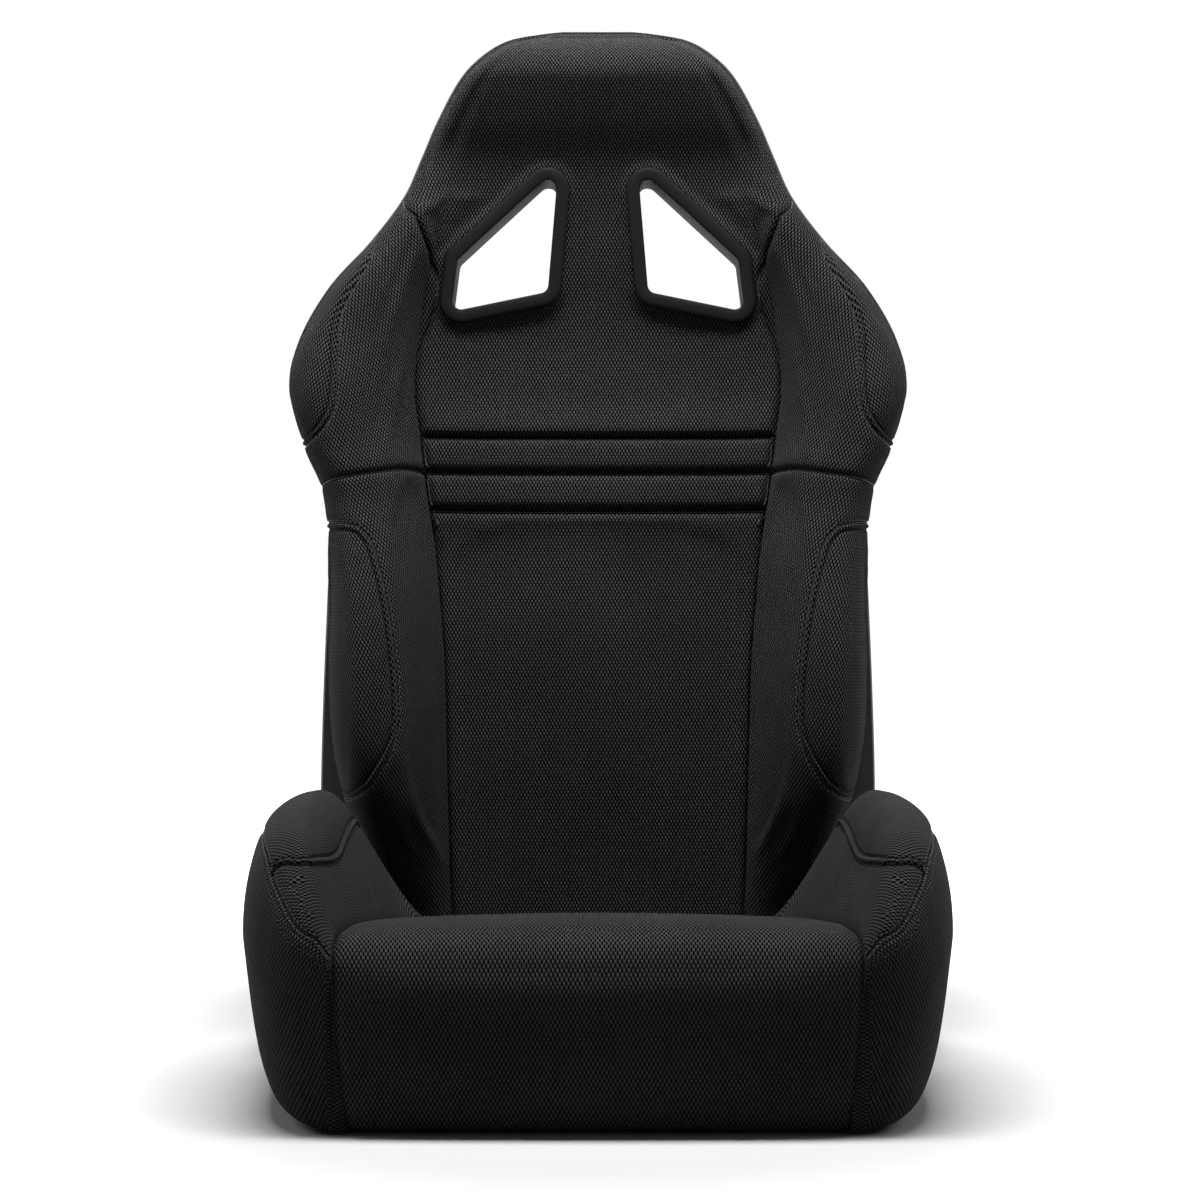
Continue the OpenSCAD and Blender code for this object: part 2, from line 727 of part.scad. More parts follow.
module side_rail(side) {
    color(steel)
        difference() {
            translate([side * mount_x / 2 - rail_w / 2, rail_front, 0])
                cube([rail_w, rail_rear - rail_front, rail_h]);
            translate([side * mount_x / 2 - rail_w / 2 + rail_wall, rail_front - 1, rail_wall])
                cube([rail_w - 2 * rail_wall, rail_rear - rail_front + 2, rail_h - 2 * rail_wall]);
            for (s = [-1, 1])
                translate([side * mount_x / 2, s * mount_y / 2, -1])
                    cylinder(h = rail_wall + 2, r = mount_r, $fn = round_fn);
        }
}

module side_rail_left() {
    side_rail(-1);
}

module side_rail_right() {
    side_rail(1);
}

module weld_nuts() {
    color(zinc)
        for (sx = [-1, 1], sy = [-1, 1])
            translate([sx * mount_x / 2, sy * mount_y / 2, rail_wall])
                difference() {
                    cylinder(h = nut_h, r = nut_across / sqrt(3), $fn = 6);
                    translate([0, 0, -1]) cylinder(h = nut_h + 2, r = mount_r, $fn = round_fn);
                }
}

module cross_tube(y, reach) {
    translate([-reach, y, tube_z])
        rotate([0, 90, 0])
            difference() {
                cylinder(h = 2 * reach, r = tube_r, $fn = round_fn);
                translate([0, 0, -1])
                    cylinder(h = 2 * reach + 2, r = tube_r - tube_wall, $fn = round_fn);
            }
}

module cross_tubes() {
    color(steel) {
        cross_tube(front_tube_y, mount_x / 2 + rail_w / 2);
        cross_tube(mid_tube_y, plate_x);
        cross_tube(pivot_y, plate_x);
    }
}

pan_half = 150;
pan_rear = 160;
pan_rib_count = 4;
pan_rib_r = 5;

pan_len = pan_rear - front_tube_y;
pan_bar_h = 14;
pan_bar_t = 2.5;

module seat_pan() {
    color(steel)
        difference() {
            translate([-pan_half, front_tube_y - tube_r + 4, pan_z])
                cube([2 * pan_half, pan_len + tube_r - 4, pan_t]);
            for (i = [0 : pan_rib_count - 1], j = [0 : 3])
                translate([(i - (pan_rib_count - 1) / 2) * 66, -125 + j * 70, pan_z - 1])
                    cylinder(h = pan_t + 2, r = 14, $fn = 48);
        }
}

// Flat bars on edge that stiffen the pan's two sides from below
module pan_bars() {
    color(steel)
        for (s = [-1, 1])
            translate([s * (pan_half - pan_bar_t / 2) - pan_bar_t / 2, front_tube_y + tube_r + 4,
                pan_z - pan_bar_h])
                cube([pan_bar_t, pan_len - 66, pan_bar_h]);
}

strip_t = 2.5;

module trim_strips() {
    color(plastic)
        for (s = [-1, 1])
            translate([s * (mount_x / 2 + rail_w / 2 + strip_t / 2) - strip_t / 2, rail_front + 5, 4])
                cube([strip_t, 340, rail_h - 8]);
}

/* ---- Recliners ---- */

arm_x = half_up + tube_r;
arm_t = 5;
plate_r = 36;
rod_y = pivot_y - 33;
rod_z = pivot_z - 43;
rod_reach = hypot(pivot_y - rod_y, pivot_z - rod_z);
tooth_root_r = 36;
tooth_tip_r = 39;
function hypot(a, b) = sqrt(a * a + b * b);

// Flat shape in the Y-Z plane, drawn as (y, z), from x = a to x = b on the given side
module side_plate(side, a, b) {
    mirror([side < 0 ? 1 : 0, 0, 0])
        translate([a, 0, 0])
            rotate([90, 0, 90])
                linear_extrude(height = b - a)
                    children();
}

module recliner_plate(side) {
    color(steel)
        side_plate(side, plate_x, plate_x + plate_t)
            difference() {
                union() {
                    translate([pivot_y, pivot_z]) circle(r = plate_r, $fn = 96);
                    polygon([[152, 14], [234, 14], [234, 60], [240, 98], [172, 118], [152, 78]]);
                }
                translate([pivot_y, pivot_z]) circle(r = pivot_r + run_gap, $fn = 96);
                translate([rod_y, rod_z]) circle(r = rod_r + run_gap, $fn = 96);
            }
}

module recliner_plate_left() {
    recliner_plate(-1);
}

module recliner_plate_right() {
    recliner_plate(1);
}

// Toothed arc of n teeth a turn, about the pivot, between two angles
function toothed(n, from, to) =
    let (first = ceil(from * n / 360), last = floor(to * n / 360))
    [for (i = [first : last - 1], k = [0 : 3])
        let (a = 360 * (i + [0, 0.25, 0.5, 0.75][k]) / n, r = k < 2 ? tooth_root_r : tooth_tip_r)
        [pivot_y + r * cos(a), pivot_z + r * sin(a)]];
arm_strap = [[257, 150], [265, 226], [246, 226], [237, 160], [214, 146], [188, 141]];

module recliner_arm(side) {
    color(steel)
        side_plate(side, arm_x, arm_x + arm_t)
            difference() {
                polygon(concat(toothed(tooth_count, 120, 352), arm_strap));
                translate([pivot_y, pivot_z]) circle(r = pivot_r, $fn = 96);
            }
}

module recliner_arm_left() {
    recliner_arm(-1);
}

module recliner_arm_right() {
    recliner_arm(1);
}

bolt_head_t = 4;
bolt_head_r = 14;

module along_x(side, x, y, z) {
    mirror([side < 0 ? 1 : 0, 0, 0]) translate([x, y, z]) rotate([0, 90, 0]) children();
}

module pivot_bolt(side) {
    shaft_end = plate_x + plate_t + 14;
    color(zinc) {
        along_x(side, arm_x - bolt_head_t, pivot_y, pivot_z)
            cylinder(h = bolt_head_t, r = bolt_head_r, $fn = round_fn);
        along_x(side, arm_x, pivot_y, pivot_z)
            cylinder(h = shaft_end - arm_x, r = pivot_r, $fn = 96);
        along_x(side, shaft_end, pivot_y, pivot_z)
            cylinder(h = 3, r = pivot_r + 2.5, $fn = round_fn);
    }
}

module pivot_bolt_left() {
    pivot_bolt(-1);
}

module pivot_bolt_right() {
    pivot_bolt(1);
}

spring_turns = 3.25;
spring_in_r = 11.5;
spring_pitch = 5.2;
spring_strip = 2;
spring_w = 9;
peg_r = 4;
spring_end = -35;

// Flat spiral strip, wound from its outer end on the peg
function spiral(r_add) = [for (i = [0 : 20 * spring_turns])
    let (a = spring_end - 360 * i / 20, r = spring_in_r + spring_pitch * (spring_turns - i / 20) + r_add)
    [r * cos(a), r * sin(a)]];

function reversed(list) = [for (i = [len(list) - 1 : -1 : 0]) list[i]];

module recline_spring(side) {
    color(zinc)
        side_plate(side, plate_x + plate_t + 1, plate_x + plate_t + 1 + spring_w)
            translate([pivot_y, pivot_z])
                polygon(concat(spiral(0), reversed(spiral(spring_strip))));
}

module recline_spring_left() {
    recline_spring(-1);
}

module recline_spring_right() {
    recline_spring(1);
}

module spring_pegs() {
    reach = spring_in_r + spring_pitch * spring_turns + spring_strip + peg_r;
    peg_y = pivot_y + reach * cos(spring_end);
    peg_z = pivot_z + reach * sin(spring_end);
    for (side = [-1, 1])
        color(zinc)
            along_x(side, plate_x + plate_t, peg_y, peg_z)
                cylinder(h = spring_w + 3, r = peg_r - seat_gap, $fn = 48);
}

shield_in = plate_x + plate_t + 0.5;
shield_out = 261;
shield_wall = 2.5;
shield_r = 46;
shield_foot = [182, 42];
shield_foot_r = 26;

// Outline of two discs and the straight sides that join them
function two_discs(a, ra, b, rb) =
    let (turn = acos((ra - rb) / norm(b - a)), dir = atan2(b[1] - a[1], b[0] - a[0]), steps = 24)
    concat(
        [for (k = [0 : steps]) let (t = dir + turn + (360 - 2 * turn) * k / steps)
            a + ra * [cos(t), sin(t)]],
        [for (k = [0 : steps]) let (t = dir - turn + 2 * turn * k / steps)
            b + rb * [cos(t), sin(t)]]);

module recliner_shield(side) {
    centre = [pivot_y, pivot_z];
    color(plastic)
        difference() {
            side_plate(side, shield_in, shield_out)
                polygon(two_discs(centre, shield_r, shield_foot, shield_foot_r));
            side_plate(side, shield_in - 1, shield_out - shield_wall)
                polygon(two_discs(centre, shield_r - shield_wall, shield_foot, shield_foot_r - shield_wall));
            along_x(side, shield_out - 10, rod_y, rod_z) cylinder(h = 20, r = rod_r + 1, $fn = 48);
            for (p = shield_screw_at)
                along_x(side, shield_out - 10, p[0], p[1]) cylinder(h = 20, r = 2.2, $fn = 32);
        }
}

shield_screw_at = [[pivot_y, pivot_z + 34], [shield_foot[0] + 12, shield_foot[1] - 10]];

module recliner_shield_left() {
    recliner_shield(-1);
}

module recliner_shield_right() {
    recliner_shield(1);
}

module shield_screws() {
    color(steel)
        for (side = [-1, 1], p = shield_screw_at) {
            along_x(side, plate_x + plate_t, p[0], p[1])
                cylinder(h = shield_out - plate_x - plate_t + 0.5, r = 2, $fn = 32);
            along_x(side, shield_out + 0.3, p[0], p[1])
                difference() {
                    cylinder(h = 2.6, r = 4.6, $fn = 48);
                    translate([0, 0, 1.2]) cylinder(h = 3, r = 1.6, $fn = 6);
                }
        }
}

/* ---- Release ---- */

lever_x = 277;
lever_t = 4;
lever_tip = [66, 104];
grip_cover = 5;
grip_dir = unit(lever_tip - [rod_y, rod_z]);

module release_rod() {
    color(zinc)
        translate([-lever_x - lever_t, rod_y, rod_z])
            rotate([0, 90, 0])
                cylinder(h = 2 * (lever_x + lever_t), r = rod_r, $fn = 96);
}

lever_hub_r = 13;
lever_tip_r = 7;

module release_lever(side) {
    color(steel)
        side_plate(side, lever_x, lever_x + lever_t)
            difference() {
                polygon(two_discs([rod_y, rod_z], lever_hub_r, lever_tip, lever_tip_r));
                translate([rod_y, rod_z]) circle(r = rod_r, $fn = 96);
            }
}

module release_lever_left() {
    release_lever(-1);
}

module release_lever_right() {
    release_lever(1);
}

// Moulded grip over the lever's end, with a slot that the lever fills
module lever_grip(side) {
    color(plastic)
        difference() {
            side_plate(side, lever_x - grip_cover, lever_x + lever_t + grip_cover)
                polygon(two_discs(lever_tip - grip_dir * 28, 10, lever_tip + grip_dir * 16, 11.5));
            side_plate(side, lever_x, lever_x + lever_t)
                polygon(two_discs([rod_y, rod_z], lever_hub_r, lever_tip, lever_tip_r));
        }
}

module lever_grip_left() {
    lever_grip(-1);
}

module lever_grip_right() {
    lever_grip(1);
}

pawl_gap = 0.5;

module recliner_pawl(side) {
    dir = [pivot_y - rod_y, pivot_z - rod_z] / rod_reach;
    tip = rod_reach - tooth_tip_r - pawl_gap;
    across = [-dir[1], dir[0]];
    centre = [rod_y, rod_z];
    color(steel)
        side_plate(side, arm_x, arm_x + arm_t)
            difference() {
                union() {
                    translate(centre) circle(r = 9, $fn = 96);
                    polygon([centre - across * 8, centre + dir * (tip - 3) - across * 5,
                        centre + dir * tip - across * 2, centre + dir * tip + across * 1,
                        centre + dir * (tip - 3) + across * 5, centre + across * 8]);
                }
                translate(centre) circle(r = rod_r, $fn = 96);
            }
}

module recliner_pawl_left() {
    recliner_pawl(-1);
}

module recliner_pawl_right() {
    recliner_pawl(1);
}

side_rail_left();
side_rail_right();
cross_tubes();
weld_nuts();
seat_pan();
pan_bars();
cushion_foam();
base_bolster_foam_left();
base_bolster_foam_right();
cushion_cover();
base_bolster_cover_left();
base_bolster_cover_right();
trim_strips();
recliner_plate_left();
recliner_plate_right();
recliner_shield_left();
recliner_shield_right();
shield_screws();
recline_spring_left();
recline_spring_right();
spring_pegs();
back_hoop();
back_cross_bars();
back_wires();
recliner_arm_left();
recliner_arm_right();
pivot_bolt_left();
pivot_bolt_right();
back_centre_foam();
head_foam();
back_bolster_foam_left();
back_bolster_foam_right();
backrest_cover();
back_shell();
shell_standoffs();
shell_screws();
slot_bezel_left();
slot_bezel_right();
slot_rear_bezel_left();
slot_rear_bezel_right();
release_rod();
release_lever_left();
release_lever_right();
lever_grip_left();
lever_grip_right();
recliner_pawl_left();
recliner_pawl_right();
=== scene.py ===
"""Looks of a reclining sport bucket seat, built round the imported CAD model.

X runs across the seat, Y to the rear and Z up. Lengths are millimetres, until a mesh is made
in metres. The upholstery follows the forms of the CAD's covers and foams, read from a few
tables of sizes, and is refined along its seams.
"""

import math

import bmesh
import bpy
import numpy as np
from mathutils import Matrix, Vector
from mathutils.bvhtree import BVHTree
from mathutils.kdtree import KDTree


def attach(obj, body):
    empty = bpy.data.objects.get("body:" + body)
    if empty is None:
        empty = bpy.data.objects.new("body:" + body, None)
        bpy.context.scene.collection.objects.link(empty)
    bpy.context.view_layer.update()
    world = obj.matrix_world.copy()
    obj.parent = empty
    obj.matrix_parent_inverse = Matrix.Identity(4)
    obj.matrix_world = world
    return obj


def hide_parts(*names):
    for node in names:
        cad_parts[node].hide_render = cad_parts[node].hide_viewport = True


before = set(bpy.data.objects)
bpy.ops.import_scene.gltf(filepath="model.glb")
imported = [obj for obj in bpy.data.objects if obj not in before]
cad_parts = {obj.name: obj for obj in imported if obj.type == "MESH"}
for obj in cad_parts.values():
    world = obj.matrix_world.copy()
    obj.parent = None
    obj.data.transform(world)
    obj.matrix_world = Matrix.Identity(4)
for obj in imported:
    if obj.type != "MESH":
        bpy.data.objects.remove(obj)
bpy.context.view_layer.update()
MM = 0.001

# ---------------------------------------------------------------- camera, light and stage

LENS, LENS_SHIFT = 128.4, 0.0017
CAMERA_PLACE, CAMERA_DOWN = (0.0, -3.6, 0.78), 5.943
LAMP_SPREAD = 130.0
# Name, place, target, size and power of each soft lamp
LAMPS = [
    ("key", (0.0, -0.16, 2.2), (0.0, 0.0, 0.5), (1.4, 0.4), 27.0),
    ("rear", (0.0, 1.6, 1.6), (0.0, 0.25, 0.5), (1.4, 0.6), 7.0),
    ("side_left", (-1.7, -0.1, 1.5), (0.0, 0.1, 0.45), (0.5, 1.2), 3.4),
    ("side_right", (1.7, -0.1, 1.5), (0.0, 0.1, 0.45), (0.5, 1.2), 3.4),
]
WHITE = (1.0, 1.0, 1.0, 1.0)
WORLD_LIGHT = 0.04
FLOOR_SIZE, FLOOR_DROP = 14.0, 0.0005
# Floor colour for light and for rays that show it, and where it fades into white
FLOOR_DARK, FLOOR_PALE = 0.3, 0.8
FADE_FROM, FADE_TO = 0.34, 0.75


def add_camera():
    """A long lens a little above the seat's middle, looking slightly down."""
    data = bpy.data.cameras.new("camera")
    data.sensor_width = 36.0
    data.lens = LENS
    data.shift_x = LENS_SHIFT
    camera = bpy.data.objects.new("camera", data)
    camera.location = CAMERA_PLACE
    camera.rotation_euler = (math.radians(90.0 - CAMERA_DOWN), 0.0, 0.0)
    data.clip_end = 60.0
    bpy.context.collection.objects.link(camera)
    bpy.context.scene.camera = camera


def add_lamp(name, place, target, size, power):
    data = bpy.data.lights.new(name, "AREA")
    data.shape = "RECTANGLE"
    data.size, data.size_y = size
    data.energy = power
    data.spread = math.radians(LAMP_SPREAD)
    light = bpy.data.objects.new(name, data)
    light.location = place
    aim = Vector(target) - Vector(place)
    light.rotation_euler = aim.to_track_quat("-Z", "Y").to_euler()
    bpy.context.collection.objects.link(light)


def add_node(nodes, kind, **inputs):
    """A new shader node with some of its inputs set."""
    node = nodes.new("ShaderNode" + kind)
    for name, value in inputs.items():
        node.inputs[name.replace("_", " ")].default_value = value
    return node


def pale_rays(nodes, links):
    """1 on rays that show the background itself: camera, mirror and glass rays."""
    path = add_node(nodes, "LightPath")
    seen = path.outputs["Is Camera Ray"]
    for ray in ("Is Glossy Ray", "Is Transmission Ray"):
        either = add_node(nodes, "Math")
        either.operation = "MAXIMUM"
        links.new(seen, either.inputs[0])
        links.new(path.outputs[ray], either.inputs[1])
        seen = either.outputs[0]
    return seen


def set_world():
    world = bpy.data.worlds.new("studio")
    world.use_nodes = True
    nodes, links = world.node_tree.nodes, world.node_tree.links
    nodes.clear()
    lit = add_node(nodes, "Background", Color=WHITE, Strength=WORLD_LIGHT)
    white = add_node(nodes, "Background", Color=WHITE, Strength=1.0)
    mix = add_node(nodes, "MixShader")
    out = add_node(nodes, "OutputWorld")
    links.new(pale_rays(nodes, links), mix.inputs[0])
    links.new(lit.outputs[0], mix.inputs[1])
    links.new(white.outputs[0], mix.inputs[2])
    links.new(mix.outputs[0], out.inputs[0])
    bpy.context.scene.world = world


def add_floor():
    """Pale floor that fades into the white surround away from the seat, and keeps its shadow."""
    mesh = bpy.data.meshes.new("floor")
    size = FLOOR_SIZE
    mesh.from_pydata([(-size, -size, 0), (size, -size, 0), (size, size, 0), (-size, size, 0)],
                     [], [(0, 1, 2, 3)])
    floor = bpy.data.objects.new("floor", mesh)
    floor.location.z = -FLOOR_DROP
    bpy.context.collection.objects.link(floor)
    mat = bpy.data.materials.new("floor_white")
    mat.use_nodes = True
    nodes, links = mat.node_tree.nodes, mat.node_tree.links
    nodes.clear()
    diffuse = add_node(nodes, "BsdfDiffuse")
    pale = add_node(nodes, "MapRange", To_Min=FLOOR_DARK, To_Max=FLOOR_PALE)
    glow = add_node(nodes, "Emission")
    place = add_node(nodes, "NewGeometry")
    length = add_node(nodes, "VectorMath")
    length.operation = "LENGTH"
    fade = add_node(nodes, "MapRange", From_Min=FADE_FROM, From_Max=FADE_TO)
    fade.interpolation_type = "SMOOTHSTEP"
    shown = add_node(nodes, "Math")
    shown.operation = "MULTIPLY"
    both = add_node(nodes, "AddShader")
    out = add_node(nodes, "OutputMaterial")
    seen = pale_rays(nodes, links)
    for source, socket in (
            (seen, pale.inputs["Value"]), (pale.outputs[0], diffuse.inputs["Color"]),
            (place.outputs["Position"], length.inputs[0]),
            (length.outputs["Value"], fade.inputs["Value"]), (fade.outputs[0], shown.inputs[0]),
            (seen, shown.inputs[1]), (shown.outputs[0], glow.inputs["Strength"]),
            (diffuse.outputs[0], both.inputs[0]), (glow.outputs[0], both.inputs[1]),
            (both.outputs[0], out.inputs[0])):
        links.new(source, socket)
    mesh.materials.append(mat)


# ---------------------------------------------------------------- materials


class Shader:
    """A material's nodes, with short names for the steps that this file needs."""

    def __init__(self, name):
        self.mat = bpy.data.materials.new(name)
        self.mat.use_nodes = True
        self.nodes, self.links = self.mat.node_tree.nodes, self.mat.node_tree.links
        self.nodes.clear()
        self.bsdf = add_node(self.nodes, "BsdfPrincipled")
        out = add_node(self.nodes, "OutputMaterial")
        self.links.new(self.bsdf.outputs[0], out.inputs[0])

    def put(self, value, socket):
        if isinstance(value, bpy.types.NodeSocket):
            self.links.new(value, socket)
        else:
            socket.default_value = value

    def math(self, operation, a, b=0.0, c=0.0):
        node = add_node(self.nodes, "Math")
        node.operation = operation
        for value, socket in zip((a, b, c), node.inputs):
            self.put(value, socket)
        return node.outputs[0]

    def attribute(self, name):
        node = add_node(self.nodes, "Attribute")
        node.attribute_name = name
        return node.outputs["Fac"]

    def noise(self, scale, detail=3.0, rough=0.5, stretch=(1.0, 1.0, 1.0)):
        """Noise from 0 to 1 in the object's own metres."""
        place = add_node(self.nodes, "TexCoord").outputs["Object"]
        mapping = add_node(self.nodes, "Mapping", Scale=stretch)
        self.links.new(place, mapping.inputs["Vector"])
        node = add_node(self.nodes, "TexNoise", Scale=scale, Detail=detail, Roughness=rough)
        self.links.new(mapping.outputs[0], node.inputs["Vector"])
        return node.outputs["Fac"]

    def cells(self, scale):
        """Distance to the nearest cell's middle, for leathery and moulded grains."""
        place = add_node(self.nodes, "TexCoord").outputs["Object"]
        node = add_node(self.nodes, "TexVoronoi", Scale=scale)
        self.links.new(place, node.inputs["Vector"])
        return node.outputs["Distance"]

    def ramp(self, value, low, high, to_low=0.0, to_high=1.0):
        node = add_node(self.nodes, "MapRange", From_Min=low, From_Max=high, To_Min=to_low,
                        To_Max=to_high)
        node.interpolation_type = "SMOOTHSTEP"
        self.put(value, node.inputs["Value"])
        return node.outputs[0]

    def blend(self, factor, a, b):
        node = add_node(self.nodes, "Mix")
        node.data_type = "RGBA"
        self.put(factor, node.inputs["Factor"])
        for value, socket in ((a, node.inputs["A"]), (b, node.inputs["B"])):
            colours = [s for s in node.inputs if s.name == socket.name and s.type == "RGBA"]
            self.put(value, colours[0])
        return [s for s in node.outputs if s.type == "RGBA"][0]

    def bump(self, height, distance, strength):
        node = add_node(self.nodes, "Bump", Distance=distance, Strength=strength)
        self.links.new(height, node.inputs["Height"])
        return node.outputs[0]

    def set(self, **values):
        for name, value in values.items():
            self.put(value, self.bsdf.inputs[name.replace("_", " ")])


def grey(level, warm=1.0):
    return (level * warm, level, level * (2.0 - warm) ** 0.5, 1.0)


HOLE_U, HOLE_V = 0.26, 0.34


def mesh_cloth(name, lit, dark):
    """Spacer mesh: staggered rows of long dark holes in a soft, slightly furry knit, their
    near-black partly painted shade.
    """
    s = Shader(name)
    uv = add_node(s.nodes, "UVMap")
    uv.uv_map = "weave"
    split = add_node(s.nodes, "SeparateXYZ")
    s.links.new(uv.outputs[0], split.inputs[0])
    lattices = []
    for shift in (0.0, 0.5):
        parts = []
        for axis, half in ((0, HOLE_U), (1, HOLE_V)):
            moved = s.math("ADD", split.outputs[axis], shift)
            centred = s.math("SUBTRACT", s.math("FRACT", moved), 0.5)
            scaled = s.math("DIVIDE", centred, half)
            parts.append(s.math("MULTIPLY", scaled, scaled))
        lattices.append(s.math("SQRT", s.math("ADD", parts[0], parts[1])))
    edge = s.math("MINIMUM", lattices[0], lattices[1])
    knit = s.ramp(edge, 0.72, 1.26)
    fuzz = s.noise(2600.0, 2.0, 0.6)
    patch = s.noise(14.0, 3.0, 0.5)
    # Painted shade: a mesh attribute darkens the colour along seams, just outside the bezels and
    # in the gaps beside the cushion
    painted_shade = s.ramp(s.attribute("painted_shade"), 0.0, 1.0, 1.0, 0.0)
    open_wall = s.math("MULTIPLY", knit, s.ramp(fuzz, 0.25, 0.75, 0.86, 1.0))
    worn = s.math("MULTIPLY", open_wall, s.ramp(patch, 0.3, 0.7, 0.88, 1.04))
    shade = s.math("MULTIPLY", worn, s.math("MULTIPLY_ADD", painted_shade, 0.62, 0.38))
    height = s.math("MULTIPLY_ADD", fuzz, 0.16, knit)
    # The holes' real pattern, with painted shade of their depth in their near-black colour
    colour = s.blend(shade, dark, lit)
    roughness = s.ramp(fuzz, 0.2, 0.8, 0.74, 0.9)
    s.set(Base_Color=colour, Roughness=roughness, Normal=s.bump(height, 0.0009, 0.9))
    s.set(Sheen_Weight=0.02, Sheen_Roughness=0.35, Specular_IOR_Level=0.04)
    s.bsdf.inputs["Sheen Tint"].default_value = (1.0, 0.99, 0.96, 1.0)
    return s.mat


def plain_cloth(name, level):
    """Close woven backing cloth of the undersides and the welts."""
    s = Shader(name)
    weave = s.noise(1500.0, 2.0, 0.6)
    broad = s.noise(30.0, 3.0, 0.5)
    tone = s.math("MULTIPLY", s.ramp(weave, 0.3, 0.7, 0.6, 1.0),
                  s.ramp(broad, 0.3, 0.7, 0.85, 1.0))
    s.set(Base_Color=s.blend(tone, grey(level * 0.4), grey(level)),
          Roughness=s.ramp(broad, 0.3, 0.7, 0.8, 0.92), Normal=s.bump(weave, 0.0004, 0.6))
    s.set(Sheen_Weight=0.05, Sheen_Roughness=0.5, Specular_IOR_Level=0.12)
    return s.mat


def thread(name, level):
    """Twisted sewing thread."""
    s = Shader(name)
    twist = s.noise(1800.0, 2.0, 0.5, (1.0, 1.0, 2.5))
    s.set(Base_Color=s.blend(twist, grey(level * 0.6), grey(level)),
          Roughness=s.ramp(twist, 0.3, 0.7, 0.5, 0.68), Normal=s.bump(twist, 0.0002, 0.6))
    s.set(Sheen_Weight=0.25, Specular_IOR_Level=0.4)
    return s.mat


def moulded_plastic(name, colour, rough, grain, gloss=0.3):
    """Grained plastic with a few rubbed, slightly glossier places."""
    s = Shader(name)
    cells = s.cells(grain)
    rubbed = s.noise(9.0, 4.0, 0.6)
    fine = s.noise(grain * 2.2, 2.0, 0.5)
    tone = s.math("MULTIPLY", s.ramp(cells, 0.0, 0.6, 1.0, 0.8),
                  s.ramp(rubbed, 0.3, 0.7, 0.88, 1.1))
    dark = tuple(c * 0.55 for c in colour[:3]) + (1.0,)
    height = s.math("MULTIPLY_ADD", fine, 0.3, s.ramp(cells, 0.0, 0.7))
    s.set(Base_Color=s.blend(tone, dark, colour),
          Roughness=s.math("MULTIPLY_ADD", rubbed, 0.14, rough - 0.07),
          Normal=s.bump(height, 0.00018, 0.7))
    s.set(Specular_IOR_Level=gloss)
    return s.mat


def powder_coat(name, level, rough=0.42):
    """Black powder coat: orange peel, with thin scuffs where hands and tools reach."""
    s = Shader(name)
    peel = s.noise(700.0, 2.0, 0.5)
    scuff = s.noise(60.0, 6.0, 0.75, (1.0, 6.0, 6.0))
    mark = s.ramp(scuff, 0.66, 0.74)
    s.set(Base_Color=s.blend(mark, grey(level), grey(level * 2.6)),
          Roughness=s.math("MULTIPLY_ADD", mark, 0.2, rough), Normal=s.bump(peel, 0.0003, 0.35))
    s.set(Specular_IOR_Level=0.5)
    return s.mat


def plated_steel(name):
    """Zinc plate: bright, a little yellow in patches, with drawn lines."""
    s = Shader(name)
    drawn = s.noise(420.0, 3.0, 0.6, (0.15, 1.0, 1.0))
    patch = s.noise(26.0, 4.0, 0.6)
    bright = s.blend(s.ramp(patch, 0.35, 0.7), (0.60, 0.61, 0.62, 1.0), (0.60, 0.56, 0.44, 1.0))
    s.set(Base_Color=s.blend(s.ramp(drawn, 0.3, 0.8), bright, (0.42, 0.42, 0.41, 1.0)),
          Roughness=s.math("MULTIPLY_ADD", patch, 0.25, 0.22), Normal=s.bump(drawn, 0.0001, 0.5))
    s.set(Metallic=1.0)
    return s.mat


# ---------------------------------------------------------------- numbers on curves


def curve(table, x, column):
    """Smooth curve through one column of a table, read at x."""
    table = np.asarray(table, float)
    xs, ys = table[:, 0], table[:, column]
    x = np.asarray(x, float)
    rows = np.arange(len(xs))
    before, after = np.maximum(rows - 1, 0), np.minimum(rows + 1, len(xs) - 1)
    slopes = (ys[after] - ys[before]) / (xs[after] - xs[before])
    i = np.clip(np.searchsorted(xs, x, side="left") - 1, 0, len(xs) - 2)
    step = xs[i + 1] - xs[i]
    t = np.clip((x - xs[i]) / step, 0.0, 1.0)
    t2, t3 = t * t, t * t * t
    return ((2 * t3 - 3 * t2 + 1) * ys[i] + (t3 - 2 * t2 + t) * step * slopes[i]
            + (3 * t2 - 2 * t3) * ys[i + 1] + (t3 - t2) * step * slopes[i + 1])


def bezier(a, b, c, d, t):
    s = 1.0 - t
    return s ** 3 * a + 3 * s * s * t * b + 3 * s * t * t * c + t ** 3 * d


def mix(a, b, t):
    return a + (b - a) * t


def dome(x, x0, x1):
    """Quarter-ellipse factor that is 1 up to x0 and falls to 0 at x1."""
    t = np.clip((x - x0) / (x1 - x0), 0.0, 1.0)
    return np.sqrt(1.0 - t * t)


def smooth(x, low, high):
    t = np.clip((x - low) / (high - low), 0.0, 1.0)
    return t * t * (3.0 - 2.0 * t)


def bell(d, width):
    return np.exp(-(d / width) ** 2)


def swell(d, reach):
    """Rise beside a seam: 0 on the seam, 1 at the reach, and fading away."""
    t = np.abs(d) / reach
    return t * np.exp(1.0 - t)


def run_lengths(points):
    """Length along a line of points, from its first point to each."""
    return np.concatenate([[0.0], np.cumsum(np.linalg.norm(np.diff(points, axis=0), axis=1))])


def even_steps(path, step):
    """Positions 0 to 1 along a path of points, about one step apart."""
    lengths = run_lengths(path)
    count = max(int(round(lengths[-1] / step)), 2)
    return np.interp(np.linspace(0, lengths[-1], count + 1), lengths, np.linspace(0, 1, len(path)))


# ---------------------------------------------------------------- form of the backrest

LEAN = math.tan(math.radians(10.2))
PIVOT_Y, PIVOT_Z = 205.0, 105.0
FOOT_H, CREST_H, TOP_H = 65.0, 850.0, 890.0

